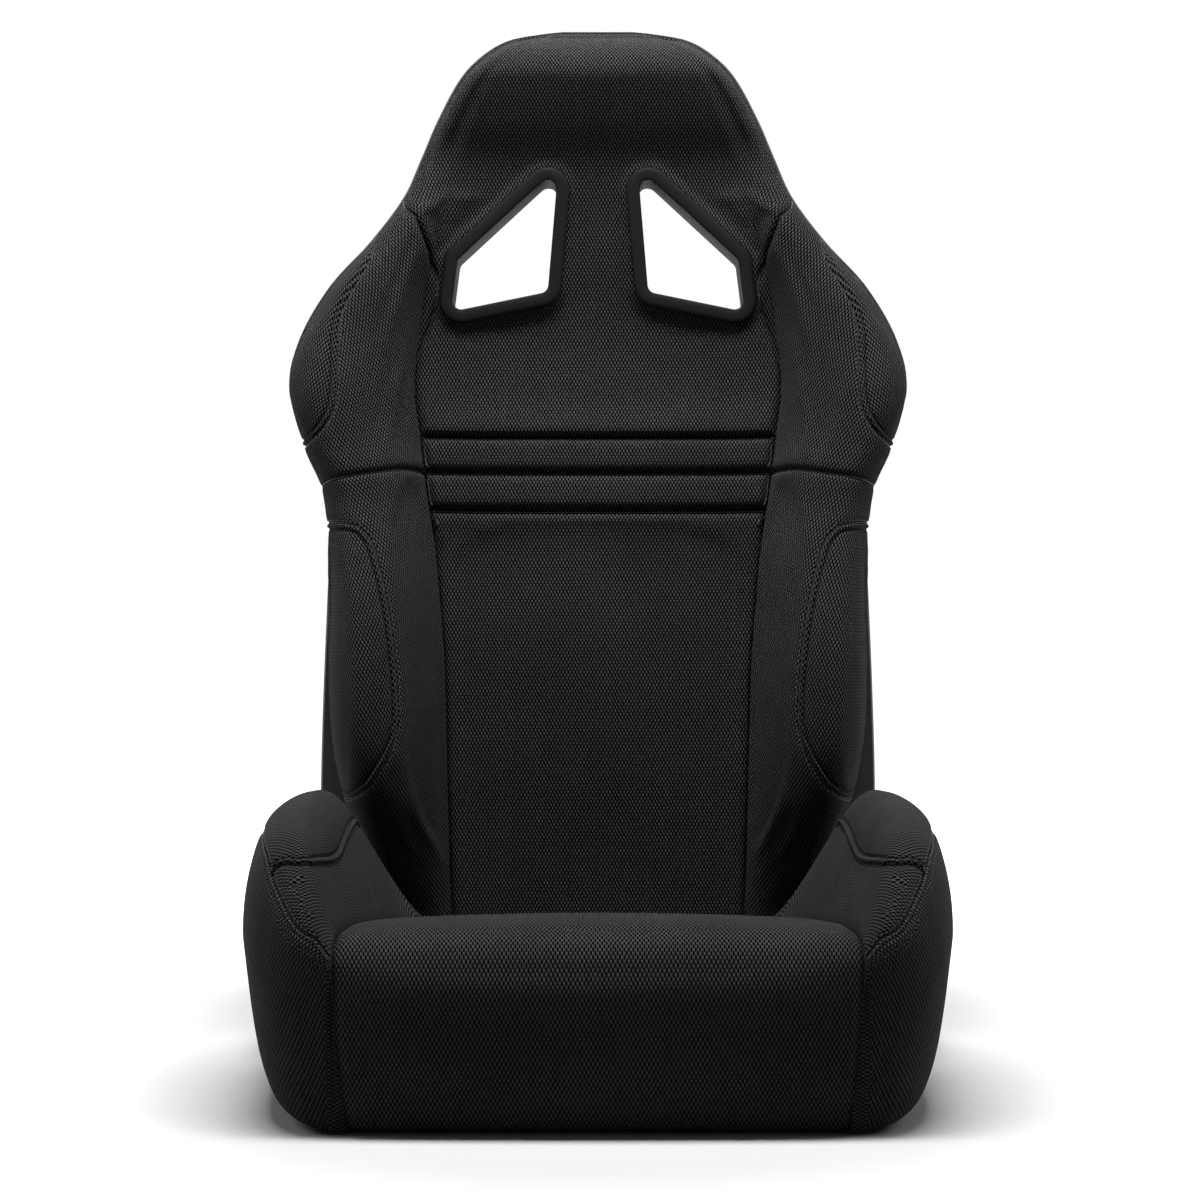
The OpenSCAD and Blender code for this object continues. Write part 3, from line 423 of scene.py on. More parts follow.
# Height, half width, seam, ridge, bolster rise and foam depth
BACK = [
    [65, 197, 128, 174, 8, 56], [110, 198, 130, 176, 12, 57], [150, 205, 132, 182, 30, 58],
    [200, 224, 134, 193, 62, 60], [230, 233, 135, 199, 76, 61], [270, 239, 136, 202, 86, 61],
    [330, 241, 138, 204, 88, 60], [380, 240, 142, 204, 84, 57], [430, 242, 147, 206, 75, 52],
    [480, 249, 155, 214, 67, 45], [520, 266, 160, 230, 70, 39], [568, 278, 166, 239, 72, 33],
    [612, 270, 164, 231, 64, 29], [660, 242.5, 157, 208, 48, 32], [700, 206, 148, 181, 30, 35],
    [740, 176, 136, 158, 18, 37], [775, 160, 122, 143, 14, 43], [810, 145, 108, 129, 12, 58],
    [850, 123, 90, 107, 8, 72], [870, 103, 72, 88, 5, 76], [883, 79, 55, 67, 3, 75],
    [888, 52, 36, 44, 1, 74], [890, 34, 24, 29, 0, 74],
]


def plane_y(z):
    return PIVOT_Y + 16.0 + (z - PIVOT_Z) * LEAN


def back_point(h, u):
    """Front of the backrest at height h: u is 0 in the middle, 1 at the seam and 2 at the edge."""
    h, u = np.broadcast_arrays(np.asarray(h, float), np.asarray(u, float))
    wide = curve(BACK, h, 1)
    seam = np.minimum(curve(BACK, h, 2), 0.75 * wide)
    ridge = np.minimum(curve(BACK, h, 3), 0.9 * wide)
    end = np.where(h < PIVOT_Z, dome(-h, -PIVOT_Z, -FOOT_H), dome(h, CREST_H, TOP_H))
    rise, deep = curve(BACK, h, 4) * end, curve(BACK, h, 5) * end
    # The bolsters sink behind the head panel
    rise = rise * (1.0 - 1.4 * smooth(h, 715.0, 800.0))
    side = np.abs(u)
    knee = 0.56
    v = np.clip(side - 1.0, 0.0, 1.0)
    top = deep + rise
    full = np.minimum(top / 20.0, 1.0)
    inner, outer = np.clip(v / knee, 0, 1), np.clip((v - knee) / (1 - knee), 0, 1)
    soft = smooth(h, 690.0, 745.0)
    x_in = bezier(seam, mix(seam, ridge, mix(0.16, 0.4, soft)), mix(seam, ridge, 0.56), ridge,
                  inner)
    d_in = bezier(deep, deep + mix(0.62, 0.04, soft) * rise, top, top, inner)
    x_out = bezier(ridge, mix(ridge, wide, 0.75), wide + 3 * full, wide + 1 - 3 * full, outer)
    d_out = bezier(top, top, 0.62 * top, 0.0, outer)
    x = np.where(side <= 1, seam * side, np.where(v < knee, x_in, x_out))
    middle = deep + 3 * end * (1 - side * side)
    depth = np.where(side <= 1, middle, np.where(v < knee, d_in, d_out))
    return np.stack([np.sign(u) * x, plane_y(h) - depth, h], axis=-1)


# ---------------------------------------------------------------- form of the base

FRONT_Y = -250.0
BASE_END = 398.0
PAN_TOP = 52.3
RIM_Z = 3.0

# Distance from the front, half width, seam, ridge, ridge height and cushion height
BASE = [
    [1, 217, 211.5, 213, 137, 138], [1.8, 228, 212, 216, 142, 141],
    [3, 238, 212, 219, 148, 145], [7, 248, 212, 224, 160, 151],
    [14, 257, 211, 229, 174, 156], [25, 266, 210, 232, 190, 159], [45, 277, 208, 236, 211, 160],
    [70, 284, 205, 238, 229, 159], [100, 289, 201, 240, 238, 155], [140, 290, 195, 240, 244, 149],
    [190, 290, 189, 239, 245, 141], [230, 286, 181, 238, 243, 134], [265, 277, 171, 237, 239, 128],
    [295, 267, 161, 236, 234, 122], [320, 262, 154, 235, 220, 117], [345, 258, 149, 232, 196, 112],
    [368, 254, 145, 227, 162, 107], [386, 250, 143, 222, 130, 101], [398, 245, 142, 216, 108, 94],
]


def front_lean(s, z):
    """How far the base's front face draws back towards the floor."""
    return 9.0 * (1.0 - smooth(z, 0.0, 72.0)) * (1.0 - np.clip(s / BASE_END, 0.0, 1.0)) ** 2


def bolster_point(s, v):
    """Right base bolster s behind the front: v runs from 0 at the lower rim, round the
    outside to the ridge at 3 and down to the cushion at 4."""
    s, v = np.broadcast_arrays(np.asarray(s, float), np.asarray(v, float))
    wide, seam = curve(BASE, s, 1), curve(BASE, s, 2)
    grow = np.minimum((wide - 212.0) / 78.0, 1.0)
    ridge = np.minimum(curve(BASE, s, 3), wide)
    top, low = curve(BASE, s, 4), RIM_Z
    seam_z = curve(BASE, s, 5) - 2.0
    foot = wide - 13.0 * grow
    corner = foot - 18.0 * grow - 2.0
    rim = np.minimum(mix(201.0, 193.5, np.clip(s / 25.0 - 1.8, 0, 1)), corner - 3.0)
    mid = mix(low, top, 0.6)
    t = [np.clip(v - k, 0.0, 1.0) for k in range(4)]
    xs = [mix(rim, corner, t[0]),
          bezier(corner, foot, foot + 0.2 * (wide - foot), wide, t[1]),
          bezier(wide, wide + 1, mix(ridge, wide, 0.62), ridge, t[2]),
          bezier(ridge, mix(ridge, seam, 0.35), mix(seam, ridge, 0.3), seam, t[3])]
    lift = low + 8.0 * grow
    zs = [mix(low, lift, t[0] ** 2),
          bezier(lift, lift + 3.0 * grow, mix(lift, mid, 0.4), mid, t[1]),
          bezier(mid, mix(mid, top, 0.62), top, top, t[2]),
          bezier(top, top, mix(seam_z, top, 0.3), seam_z, t[3])]
    part = np.clip(np.ceil(v).astype(int) - 1, 0, 3)
    z = np.choose(part, zs)
    return np.stack([np.choose(part, xs) + 0.6, FRONT_Y + s + front_lean(s, z), z], axis=-1)


# Section of the cushion from its rear edge over the top and down the front: place behind the
# front, height, half width and share of the crown. The rear's last number is a drop in height.
CUSHION_REAR = [(s, z - drop, w, 1.0) for s, z, w, drop in
                ((398, 94, 142, 14), (392, 98, 142.4, 6), (380, 103.5, 143.5, 0),
                 (345, 112, 149, 0), (295, 122, 161, 0), (230, 134, 181, 0),
                 (190, 141, 189, 0), (140, 149, 195, 0),
                 (100, 155, 201, 0), (70, 159, 205, 0))]
CUSHION_LIP = [(45, 160.3, 208, 0.8), (27, 159.3, 209.6, 0.55), (14, 155.5, 210.6, 0.35),
               (6, 149.5, 211, 0.3), (1, 141, 211, 0.3)]
CUSHION_FRONT = [(-2.4, 125, 210.6, 0.4), (-3.4, 100, 210, 0.6), (-2.6, 72, 208.8, 0.75),
                 (0, 44, 206.2, 0.6), (3.4, 22, 203.6, 0.4), (7, 9, 201.6, 0.2),
                 (13, 3.6, 200.8, 0.0), (22, 3, 200.6, 0.0)]
# Height and half width of the joint between the cushion's front and the bolsters
FRONT_JOINT = [(3, 200.6), (22, 203.6), (44, 206.2), (72, 208.6), (100, 210.1), (125, 211),
               (141, 211.6)]
CUSHION_CROWN = 5.0


def cushion_table():
    rows = np.array(CUSHION_REAR + CUSHION_LIP + CUSHION_FRONT, float)
    return np.column_stack([run_lengths(rows[:, :2]), rows])


CUSHION = cushion_table()
CUSHION_LEN = CUSHION[-1, 0]


def cushion_point(a, u):
    """Cushion a along its section, with u from -1 to 1 across."""
    a, u = np.broadcast_arrays(np.asarray(a, float), np.asarray(u, float))
    place, z = curve(CUSHION, a, 1), curve(CUSHION, a, 2)
    ahead, back = np.minimum(a + 2.0, CUSHION_LEN), np.maximum(a - 2.0, 0.0)
    run_y = curve(CUSHION, ahead, 1) - curve(CUSHION, back, 1)
    run_z = curve(CUSHION, ahead, 2) - curve(CUSHION, back, 2)
    long = np.hypot(run_y, run_z)
    crown = CUSHION_CROWN * (1 - u * u) * curve(CUSHION, a, 4)
    return np.stack([curve(CUSHION, a, 3) * u, FRONT_Y + place + crown * run_z / long,
                     z - crown * run_y / long], axis=-1)


# ---------------------------------------------------------------- harness slots

SLOT_H, SLOT_TILT = 695.0, math.radians(6.0)
SLOT_CORNERS = np.array([[36.0, 74.0], [127.0, -10.0], [133.0, -57.0], [45.5, -39.0]])
SLOT_ROUND = 8.0
# Foam in front of the frame at the slots, and how far the bezels stand proud of it
SLOT_FOAM, SLOT_PROUD = 35.0, 3.8
SLOT_Y = plane_y(SLOT_H) - SLOT_FOAM - SLOT_PROUD
BEZEL_W, BEZEL_T, BEZEL_LIFT, TUNNEL_WALL = 12.0, 2.4, 1.2, 2.0
SHELL_DEPTH, SHELL_WALL = 46.0, 3.0
TUNNEL_LEN = SLOT_FOAM + SHELL_DEPTH - 4.0
SLOT_DROP = 8.5


def unit(v):
    return v / np.linalg.norm(v)


def rounded_outline(points, grow, radius, steps=10):
    """Outline moved outward by grow, with round corners. The points run clockwise."""
    points = np.asarray(points, float)
    n = len(points)
    moved = []
    for i in range(n):
        a, b = unit(points[i] - points[i - 1]), unit(points[(i + 1) % n] - points[i])
        na, nb = np.array([-a[1], a[0]]), np.array([-b[1], b[0]])
        moved.append(points[i] + (na + nb) * grow / (1 + na @ nb))
    out = []
    for i in range(n):
        a, b = unit(moved[i] - moved[i - 1]), unit(moved[(i + 1) % n] - moved[i])
        turn = math.acos(np.clip(a @ b, -1, 1))
        na = np.array([-a[1], a[0]])
        centre = moved[i] - a * radius * math.tan(turn / 2) - na * radius
        first = math.atan2(na[1], na[0])
        for k in range(steps + 1):
            t = first - turn * k / steps
            out.append(centre + radius * np.array([math.cos(t), math.sin(t)]))
    return np.array(out)


def slot_to_seat(across, depth, up, side):
    """Place in the slot's own tilted frame to a place in the seat's."""
    y = depth * math.cos(SLOT_TILT) + up * math.sin(SLOT_TILT)
    z = -depth * math.sin(SLOT_TILT) + up * math.cos(SLOT_TILT)
    return np.stack(np.broadcast_arrays(side * across, SLOT_Y + y, SLOT_H + z), axis=-1)


def seat_to_slot(points):
    y, z = points[..., 1] - SLOT_Y, points[..., 2] - SLOT_H
    depth = y * math.cos(SLOT_TILT) - z * math.sin(SLOT_TILT)
    up = y * math.sin(SLOT_TILT) + z * math.cos(SLOT_TILT)
    return np.abs(points[..., 0]), depth, up


def slot_distance(across, up):
    """How far a place lies outside the slot's outline, below 0 inside it."""
    core = rounded_outline(SLOT_CORNERS, -SLOT_ROUND, 0.01, 1)[::2]
    far = np.full(across.shape, 1e9)
    inside = np.ones(across.shape, bool)
    for i in range(len(core)):
        p, q = core[i], core[(i + 1) % len(core)]
        edge = q - p
        t = np.clip(((across - p[0]) * edge[0] + (up - p[1]) * edge[1]) / (edge @ edge), 0, 1)
        far = np.minimum(far, np.hypot(across - p[0] - t * edge[0], up - p[1] - t * edge[1]))
        inside &= (across - p[0]) * -edge[1] + (up - p[1]) * edge[0] < 0
    return np.where(inside, -far, far) - SLOT_ROUND


# ---------------------------------------------------------------- meshes


def add_object(name, mesh, mats, body, angle=40.0):
    for mat in mats:
        mesh.materials.append(mat)
    mesh.polygons.foreach_set("use_smooth", [True] * len(mesh.polygons))
    mesh.set_sharp_from_angle(angle=math.radians(angle))
    piece = bpy.data.objects.new(name, mesh)
    bpy.context.collection.objects.link(piece)
    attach(piece, body)
    return piece


def mesh_from(name, points, faces):
    mesh = bpy.data.meshes.new(name)
    mesh.from_pydata((np.asarray(points) * MM).tolist(), [], faces)
    return mesh


def outward(mesh):
    """Turns all faces outward."""
    bm = bmesh.new()
    bm.from_mesh(mesh)
    bmesh.ops.recalc_face_normals(bm, faces=bm.faces)
    bm.to_mesh(mesh)
    bm.free()


def ring_faces(m, n, closed_path=False):
    """Faces over m rings of n points. The ends are flat faces, or the path is closed."""
    faces = []
    for i in range(m if closed_path else m - 1):
        a, b = i * n, (i + 1) % m * n
        faces += [(a + j, a + (j + 1) % n, b + (j + 1) % n, b + j) for j in range(n)]
    if not closed_path:
        faces += [tuple(range(n - 1, -1, -1)), tuple(range((m - 1) * n, m * n))]
    return faces


def ring_mesh(name, rings, closed_path=False):
    """Skin over rings of points."""
    rings = np.asarray(rings)
    mesh = mesh_from(name, rings.reshape(-1, 3), ring_faces(*rings.shape[:2], closed_path))
    outward(mesh)
    return mesh


def cord_rings(path, across, rise, radius, sides):
    """Rings of points round a path, in two directions square to it."""
    t = np.linspace(0, 2 * math.pi, sides, endpoint=False)
    return (path[:, None] + radius * np.cos(t)[None, :, None] * across[:, None]
            + radius * np.sin(t)[None, :, None] * rise[:, None])


def tube_mesh(name, path, radius, sides):
    """Round cord along a path of points."""
    along = np.gradient(path, axis=0)
    along /= np.linalg.norm(along, axis=1, keepdims=True)
    across = np.cross(along, np.broadcast_to((0.0, -1.0, 0.0), path.shape))
    across /= np.linalg.norm(across, axis=1, keepdims=True)
    return ring_mesh(name, cord_rings(path, across, np.cross(across, along), radius, sides))


def cut(name, piece_mesh, cutters):
    """The mesh with closed cutters taken away, and without materials."""
    source = bpy.data.objects.new("cut_source", piece_mesh)
    bpy.context.collection.objects.link(source)
    helpers = [source]
    for cutter in cutters:
        tool = bpy.data.objects.new("cut_tool", cutter)
        bpy.context.collection.objects.link(tool)
        helpers.append(tool)
        step = source.modifiers.new("cut", "BOOLEAN")
        step.operation = "DIFFERENCE"
        step.solver = "EXACT"
        step.object = tool
    shown = source.evaluated_get(bpy.context.evaluated_depsgraph_get())
    result = bpy.data.meshes.new_from_object(shown)
    for helper in helpers:
        bpy.data.objects.remove(helper)
    result.name = name
    result.materials.clear()
    return result


CUTTER_REACH, CUT_PLAY = (-60.0, 170.0), 0.8


def slot_cutters(grow):
    made = []
    for side in (-1, 1):
        outline = rounded_outline(SLOT_CORNERS, grow, SLOT_ROUND + grow, 8)
        rings = [slot_to_seat(outline[:, 0], depth, outline[:, 1], side)
                 for depth in CUTTER_REACH]
        made.append(ring_mesh("slot_cutter", rings))
    return made


# ---------------------------------------------------------------- sewn skins


class Seam:
    """A sewn line on a skin, given by a few places on it and drawn as a smooth curve."""

    def __init__(self, surface, places, kind, mirrored=False):
        places = np.asarray(places, float)
        if mirrored:
            places = places * (1, -1)
        lengths = run_lengths(surface(places[:, 0], places[:, 1]))
        table = np.column_stack([lengths, places])
        t = np.linspace(0, table[-1, 0], max(int(table[-1, 0] / 0.8), 4))
        self.places = np.column_stack([curve(table, t, 1), curve(table, t, 2)])
        self.points = surface(self.places[:, 0], self.places[:, 1])
        self.kind = kind


def inside_outline(outline, a, b):
    """Whether the places (a, b) lie inside a closed outline of places."""
    inside = np.zeros(a.shape, bool)
    for p, q in zip(outline, np.roll(outline, -1, axis=0)):
        crosses = (p[1] > b) != (q[1] > b)
        rise = q[1] - p[1] if q[1] != p[1] else 1e-9
        inside ^= crosses & (a < (q[0] - p[0]) * (b - p[1]) / rise + p[0])
    return inside


def distance_to(lines, points):
    """Distance from each point to the nearest of the lines."""
    if not lines:
        return np.full(len(points), FAR)
    samples = np.concatenate([line.points for line in lines])
    tree = KDTree(len(samples))
    for i, p in enumerate(samples):
        tree.insert(p, i)
    tree.balance()
    return np.array([tree.find(p)[2] for p in points])


def facing(surface, a, b, span_a, span_b, out):
    """Unit normals of a surface, on the side that a rough outward direction names."""
    da, db = 0.002 * (span_a[1] - span_a[0]), 0.002 * (span_b[1] - span_b[0])
    run_a = surface(np.minimum(a + da, span_a[1]), b) - surface(np.maximum(a - da, span_a[0]), b)
    run_b = surface(a, np.minimum(b + db, span_b[1])) - surface(a, np.maximum(b - db, span_b[0]))
    normal = np.cross(run_a, run_b)
    normal /= np.maximum(np.linalg.norm(normal, axis=-1, keepdims=True), 1e-9)
    return normal if out > 0 else -normal


def cubic_read(field, fi, fj):
    """Smooth value of a grid of vectors at fractional rows and columns."""
    def weights(t):
        return (-0.5 * t + t * t - 0.5 * t ** 3, 1 - 2.5 * t * t + 1.5 * t ** 3,
                0.5 * t + 2 * t * t - 1.5 * t ** 3, -0.5 * t * t + 0.5 * t ** 3)
    i, j = np.floor(fi).astype(int), np.floor(fj).astype(int)
    wi, wj = weights(fi - i), weights(fj - j)
    total = np.zeros((len(fi), field.shape[2]))
    for p in range(4):
        for q in range(4):
            rows = np.clip(i + p - 1, 0, field.shape[0] - 1)
            cols = np.clip(j + q - 1, 0, field.shape[1] - 1)
            total += (wi[p] * wj[q])[:, None] * field[rows, cols]
    return total


# Every which row of the grid the coarse cloth keeps, what blows it up and for how many frames,
# and the settings of its cloth modifier
COARSE, PRESSURE, FRAMES = 2, 4.0, 20
CLOTH = {"quality": 5, "mass": 0.25, "tension_stiffness": 12.0, "compression_stiffness": 12.0,
         "shear_stiffness": 6.0, "bending_stiffness": 0.4, "use_pressure": True,
         "uniform_pressure_force": PRESSURE, "vertex_group_mass": "pin"}
PIN_NEAR, PIN_FAR = 2.0, 16.0
REFINE_REACH, REFINE_CUTS = 9.0, 3
END_CELL_U, END_CELL_V = 3.4, 6.4
FAR = 1e3
LABELS = ("a", "b", "across", "along", "fixed")


def put_values(mesh, label, values):
    layer = mesh.attributes.new(label, "FLOAT", "POINT")
    layer.data.foreach_set("value", np.asarray(values).ravel().astype(np.float32))


def read_values(items, name, count, kind=float):
    values = np.empty(count, kind)
    items.foreach_get(name, values)
    return values


class Skin:
    """A closed upholstered form on a grid of two parameters a and b.

    closing gives, for each row, points that lead from its last column back to its first;
    without it the grid's rim lies in one plane, and one flat face closes the form.
    """

    def __init__(self, name, surface, rows, cols, out, closing=None, level_rows=False):
        self.name, self.surface, self.out = name, surface, out
        self.rows, self.cols = rows, cols
        self.level_rows = level_rows
        self.closing = closing
        self.spans = (rows[0], rows[-1]), (cols[0], cols[-1])
        self.grid_a, self.grid_b = np.meshgrid(rows, cols, indexing="ij")
        self.seams = []
        self.push = None

    def lines(self, kind):
        return [seam for seam in self.seams if seam.kind == kind]

    def normals(self, a, b):
        return facing(self.surface, a, b, *self.spans, self.out)

    def sheet(self, step=1):
        """Points and faces of the closed grid, every step-th row and column."""
        rows, cols = [sorted({*range(0, len(line), step), len(line) - 1})
                      for line in (self.rows, self.cols)]
        a, b = self.grid_a[np.ix_(rows, cols)], self.grid_b[np.ix_(rows, cols)]
        points = self.surface(a, b)
        m, n = a.shape
        extra = self.closing(a[:, 0], points) if self.closing else np.zeros((m, 0, 3))
        k = n + extra.shape[1]
        vertices = np.concatenate([points, extra], axis=1).reshape(-1, 3)
        if self.closing:
            faces = ring_faces(m, k)
        else:
            faces = [(i * k + j, i * k + j + 1, (i + 1) * k + j + 1, (i + 1) * k + j)
                     for i in range(m - 1) for j in range(n - 1)]
            rim = list(range(n)) + [i * k + n - 1 for i in range(1, m)]
            rim += [(m - 1) * k + j for j in range(n - 2, -1, -1)]
            rim += [i * k for i in range(m - 2, 0, -1)]
            faces.append(tuple(reversed(rim)))
        return a, b, points, vertices, faces, (m, n, k)

    def simulate_start(self, pinned):
        """Adds the coarse cloth that is blown up against its pinned seams."""
        a, b, points, vertices, faces, (m, n, k) = self.sheet(COARSE)
        mesh = mesh_from("cloth", vertices, faces)
        outward(mesh)
        cloth = bpy.data.objects.new("cloth", mesh)
        bpy.context.collection.objects.link(cloth)
        hold = np.ones((m, k))
        near = distance_to(self.seams, points.reshape(-1, 3)).reshape(m, n)
        hold[:, :n] = np.maximum(1.0 - smooth(near, PIN_NEAR, PIN_FAR), pinned(a, b))
        group = cloth.vertex_groups.new(name="pin")
        for i, w in enumerate(hold.ravel()):
            group.add([i], float(w), "REPLACE")
        step_mod = cloth.modifiers.new("cloth", "CLOTH")
        for label, value in CLOTH.items():
            setattr(step_mod.settings, label, value)
        step_mod.settings.effector_weights.gravity = 0.0
        step_mod.collision_settings.use_collision = False
        step_mod.collision_settings.use_self_collision = False
        self.cloth, self.coarse = cloth, (a, b, points, (m, n, k))

    def simulate_end(self, cap):
        """Keeps how far each point of the coarse cloth moved, up to the cap."""
        shown = self.cloth.evaluated_get(bpy.context.evaluated_depsgraph_get())
        a, b, points, (m, n, k) = self.coarse
        moved = read_values(shown.data.vertices, "co", m * k * 3)
        moved = moved.reshape(m, k, 3)[:, :n] / MM - points
        size = np.linalg.norm(moved, axis=-1, keepdims=True)
        self.push = moved * np.minimum(1.0, cap / np.maximum(size, 1e-6))
        self.push_rows, self.push_cols = a[:, 0], b[0]
        bpy.data.objects.remove(self.cloth)

    def refined(self):
        """The grid as a mesh that is finer near seams, with each point's place on the form."""
        a, b, points, vertices, faces, (m, n, k) = self.sheet()
        mesh = mesh_from(self.name, vertices, faces)
        across, along, place_a, place_b, fixed = np.zeros((5, m, k))
        middle = int(np.argmin(np.abs(self.cols - (self.cols[0] + self.cols[-1]) / 2)))
        run = np.concatenate([np.zeros((m, 1)), np.cumsum(
            np.linalg.norm(np.diff(points, axis=1), axis=-1), axis=1)], axis=1)
        across[:, :n] = run - run[:, [middle]]
        along[:, :n] = np.concatenate([np.zeros((1, n)), np.cumsum(
            np.linalg.norm(np.diff(points, axis=0), axis=-1), axis=0)], axis=0)
        if self.level_rows:
            along[:, :n] = along[:, [middle]]
        fixed[:, n:] = 1.0
        place_a[:, :n], place_a[:, n:], place_b[:, :n] = a, a[:, :1], b
        for label, values in zip(LABELS, (place_a, place_b, across, along, fixed)):
            put_values(mesh, label, values)
        near = np.full((m, k), FAR)
        near[:, :n] = distance_to(self.seams, points.reshape(-1, 3)).reshape(m, n)
        near, fixed = near.ravel(), fixed.ravel()
        bm = bmesh.new()
        bm.from_mesh(mesh)
        picked = [f for f in bm.faces if len(f.verts) == 4
                  and min(near[v.index] for v in f.verts) < REFINE_REACH
                  and max(fixed[v.index] for v in f.verts) < 0.5]
        edges = list({e for f in picked for e in f.edges})
        if edges:
            bmesh.ops.subdivide_edges(bm, edges=edges, cuts=REFINE_CUTS, use_grid_fill=True)
        bmesh.ops.recalc_face_normals(bm, faces=bm.faces)
        bm.to_mesh(mesh)
        bm.free()
        count = len(mesh.vertices)
        read = {label: read_values(mesh.attributes[label].data, "value", count,
                                   np.float32).astype(float) for label in LABELS}
        return mesh, read

    def build(self, shape, panels, mats, body, slot_name, cutters=None):
        """The final mesh: the refined grid, displaced and mapped for its weave."""
        mesh, read = self.refined()
        count = len(mesh.vertices)
        co = read_values(mesh.vertices, "co", count * 3).reshape(-1, 3) / MM
        free = read["fixed"] < 0.001
        pa, pb = read["a"][free], read["b"][free]
        spot = self.surface(pa, pb)
        normal = self.normals(pa, pb)
        pushed = np.zeros_like(spot)
        if self.push is not None:
            fi = np.interp(pa, self.push_rows, np.arange(len(self.push_rows)))
            fj = np.interp(pb, self.push_cols, np.arange(len(self.push_cols)))
            pushed = cubic_read(self.push, fi, fj)
        final, painted_shade = shape(pa, pb, spot, normal, pushed)
        co[free] = final
        mesh.vertices.foreach_set("co", (co * MM).ravel())
        # The shape's second value is painted shade, stored on the mesh for the cloth's colour
        dark = np.zeros(count)
        dark[free] = painted_shade
        put_values(mesh, "painted_shade", dark)
        self.map_weave(mesh, read, panels)
        for label in LABELS:
            mesh.attributes.remove(mesh.attributes[label])
        mesh.update()
        if cutters:
            mesh = cut(self.name, mesh, cutters)
        self.piece = add_object(self.name, mesh, mats, body)
        return self.piece

    def map_weave(self, mesh, read, panels):
        """Lays each panel's weave along its own grain: one mesh cell to one unit of the map."""
        count = len(mesh.polygons)
        vert = read_values(mesh.loops, "vertex_index", len(mesh.loops), np.int64)
        totals = read_values(mesh.polygons, "loop_total", count, np.int64)
        face = np.repeat(np.arange(count), totals)
        sums = [np.bincount(face, read[label][vert]) / totals for label in ("a", "b", "fixed")]
        angle, cell_u, cell_v = panels(sums[0], sums[1])
        angle, cell_u, cell_v = angle[face], cell_u[face], cell_v[face]
        s, t = read["across"][vert], read["along"][vert]
        u = (s * np.cos(angle) + t * np.sin(angle)) / cell_u
        v = (t * np.cos(angle) - s * np.sin(angle)) / cell_v
        layer = mesh.uv_layers.new(name="weave")
        # The flat front end of a form is the same cloth
        normals = read_values(mesh.polygons, "normal", count * 3).reshape(-1, 3)
        ends = (totals > 4) & (normals[:, 1] < -0.7)
        place = read_values(mesh.vertices, "co", len(mesh.vertices) * 3).reshape(-1, 3)[vert] / MM
        on_end = ends[face]
        u = np.where(on_end, place[:, 2] / END_CELL_U, u)
        v = np.where(on_end, place[:, 0] / END_CELL_V, v)
        layer.data.foreach_set("uv", np.stack([u, v], axis=1).astype(np.float32).ravel())
        mesh.polygons.foreach_set("material_index", ((sums[2] > 0.01) & ~ends).astype(np.int32))


def run_cloth(skins):
    """Steps the simulation once for all skins together."""
    scene = bpy.context.scene
    for number in range(1, FRAMES + 1):
        scene.frame_set(number)
    for skin, cap in skins:
        skin.simulate_end(cap)
    scene.frame_set(1)


# ---------------------------------------------------------------- stitches and seam lines


CAST_FROM, CAST_REACH = 9.0, 20.0
STITCH_PITCH, STITCH_LEN, STITCH_R = 4.6, 3.4, 0.42
# Sections of a stitch, from end to end: place, height and width, and their common outline
STITCH_AT = (-0.5, -0.36, 0.0, 0.36, 0.5)
STITCH_HIGH = (-0.55, 0.12, 0.38, 0.12, -0.55)
STITCH_WIDE = (0.35, 0.95, 1.0, 0.95, 0.35)
STITCH_OUTLINE = np.array([[-1, 0], [-0.5, 0.8], [0.5, 0.8], [1, 0], [0, -0.7]])
SEAM_CORD_STEP, SEAM_CORD_SINK, SEAM_CORD_SIDES = 2.0, 0.25, 6


def lay_on(piece, points, normals, lift):
    """Puts points on a piece's surface, a little above it."""
    tree = BVHTree.FromObject(piece, bpy.context.evaluated_depsgraph_get())
    out = []
    for p, n in zip(points, normals):
        start = Vector((p + n * CAST_FROM) * MM)
        hit = tree.ray_cast(start, Vector(-n), CAST_REACH * MM)[0]
        if hit is None:
            hit = Vector(p * MM)
        out.append(np.array(hit) / MM + n * lift)
    return np.array(out)


def seam_frame(skin, seam):
    """Normals, sideways directions and directions along a seam."""
    normal = skin.normals(seam.places[:, 0], seam.places[:, 1])
    along = np.gradient(seam.points, axis=0)
    along /= np.linalg.norm(along, axis=1, keepdims=True)
    return normal, np.cross(normal, along), along


def every(points, spacing):
    """Indices along a line of points, about one spacing apart."""
    lengths = run_lengths(points)
    return np.searchsorted(lengths, np.arange(spacing / 2, lengths[-1], spacing))


def stitch_row(skin, seam, offset):
    """Stitches beside a seam, each a low bar whose ends dive into the cloth."""
    normal, side, along = seam_frame(skin, seam)
    picks = every(seam.points, STITCH_PITCH)
    middle = seam.points[picks] + side[picks] * offset
    n, t, w = normal[picks], along[picks], side[picks]
    middle = lay_on(skin.piece, middle, n, 0.0)
    around = ring_faces(len(STITCH_AT), len(STITCH_OUTLINE))
    points, faces = [], []
    for c, nn, tt, ww in zip(middle, n, t, w):
        faces += [tuple(len(points) + i for i in face) for face in around]
        for at, high, wide in zip(STITCH_AT, STITCH_HIGH, STITCH_WIDE):
            centre, r = c + tt * at * STITCH_LEN + nn * high, wide * STITCH_R
            points += [centre + ww * x * r + nn * y * r for x, y in STITCH_OUTLINE]
    return points, faces


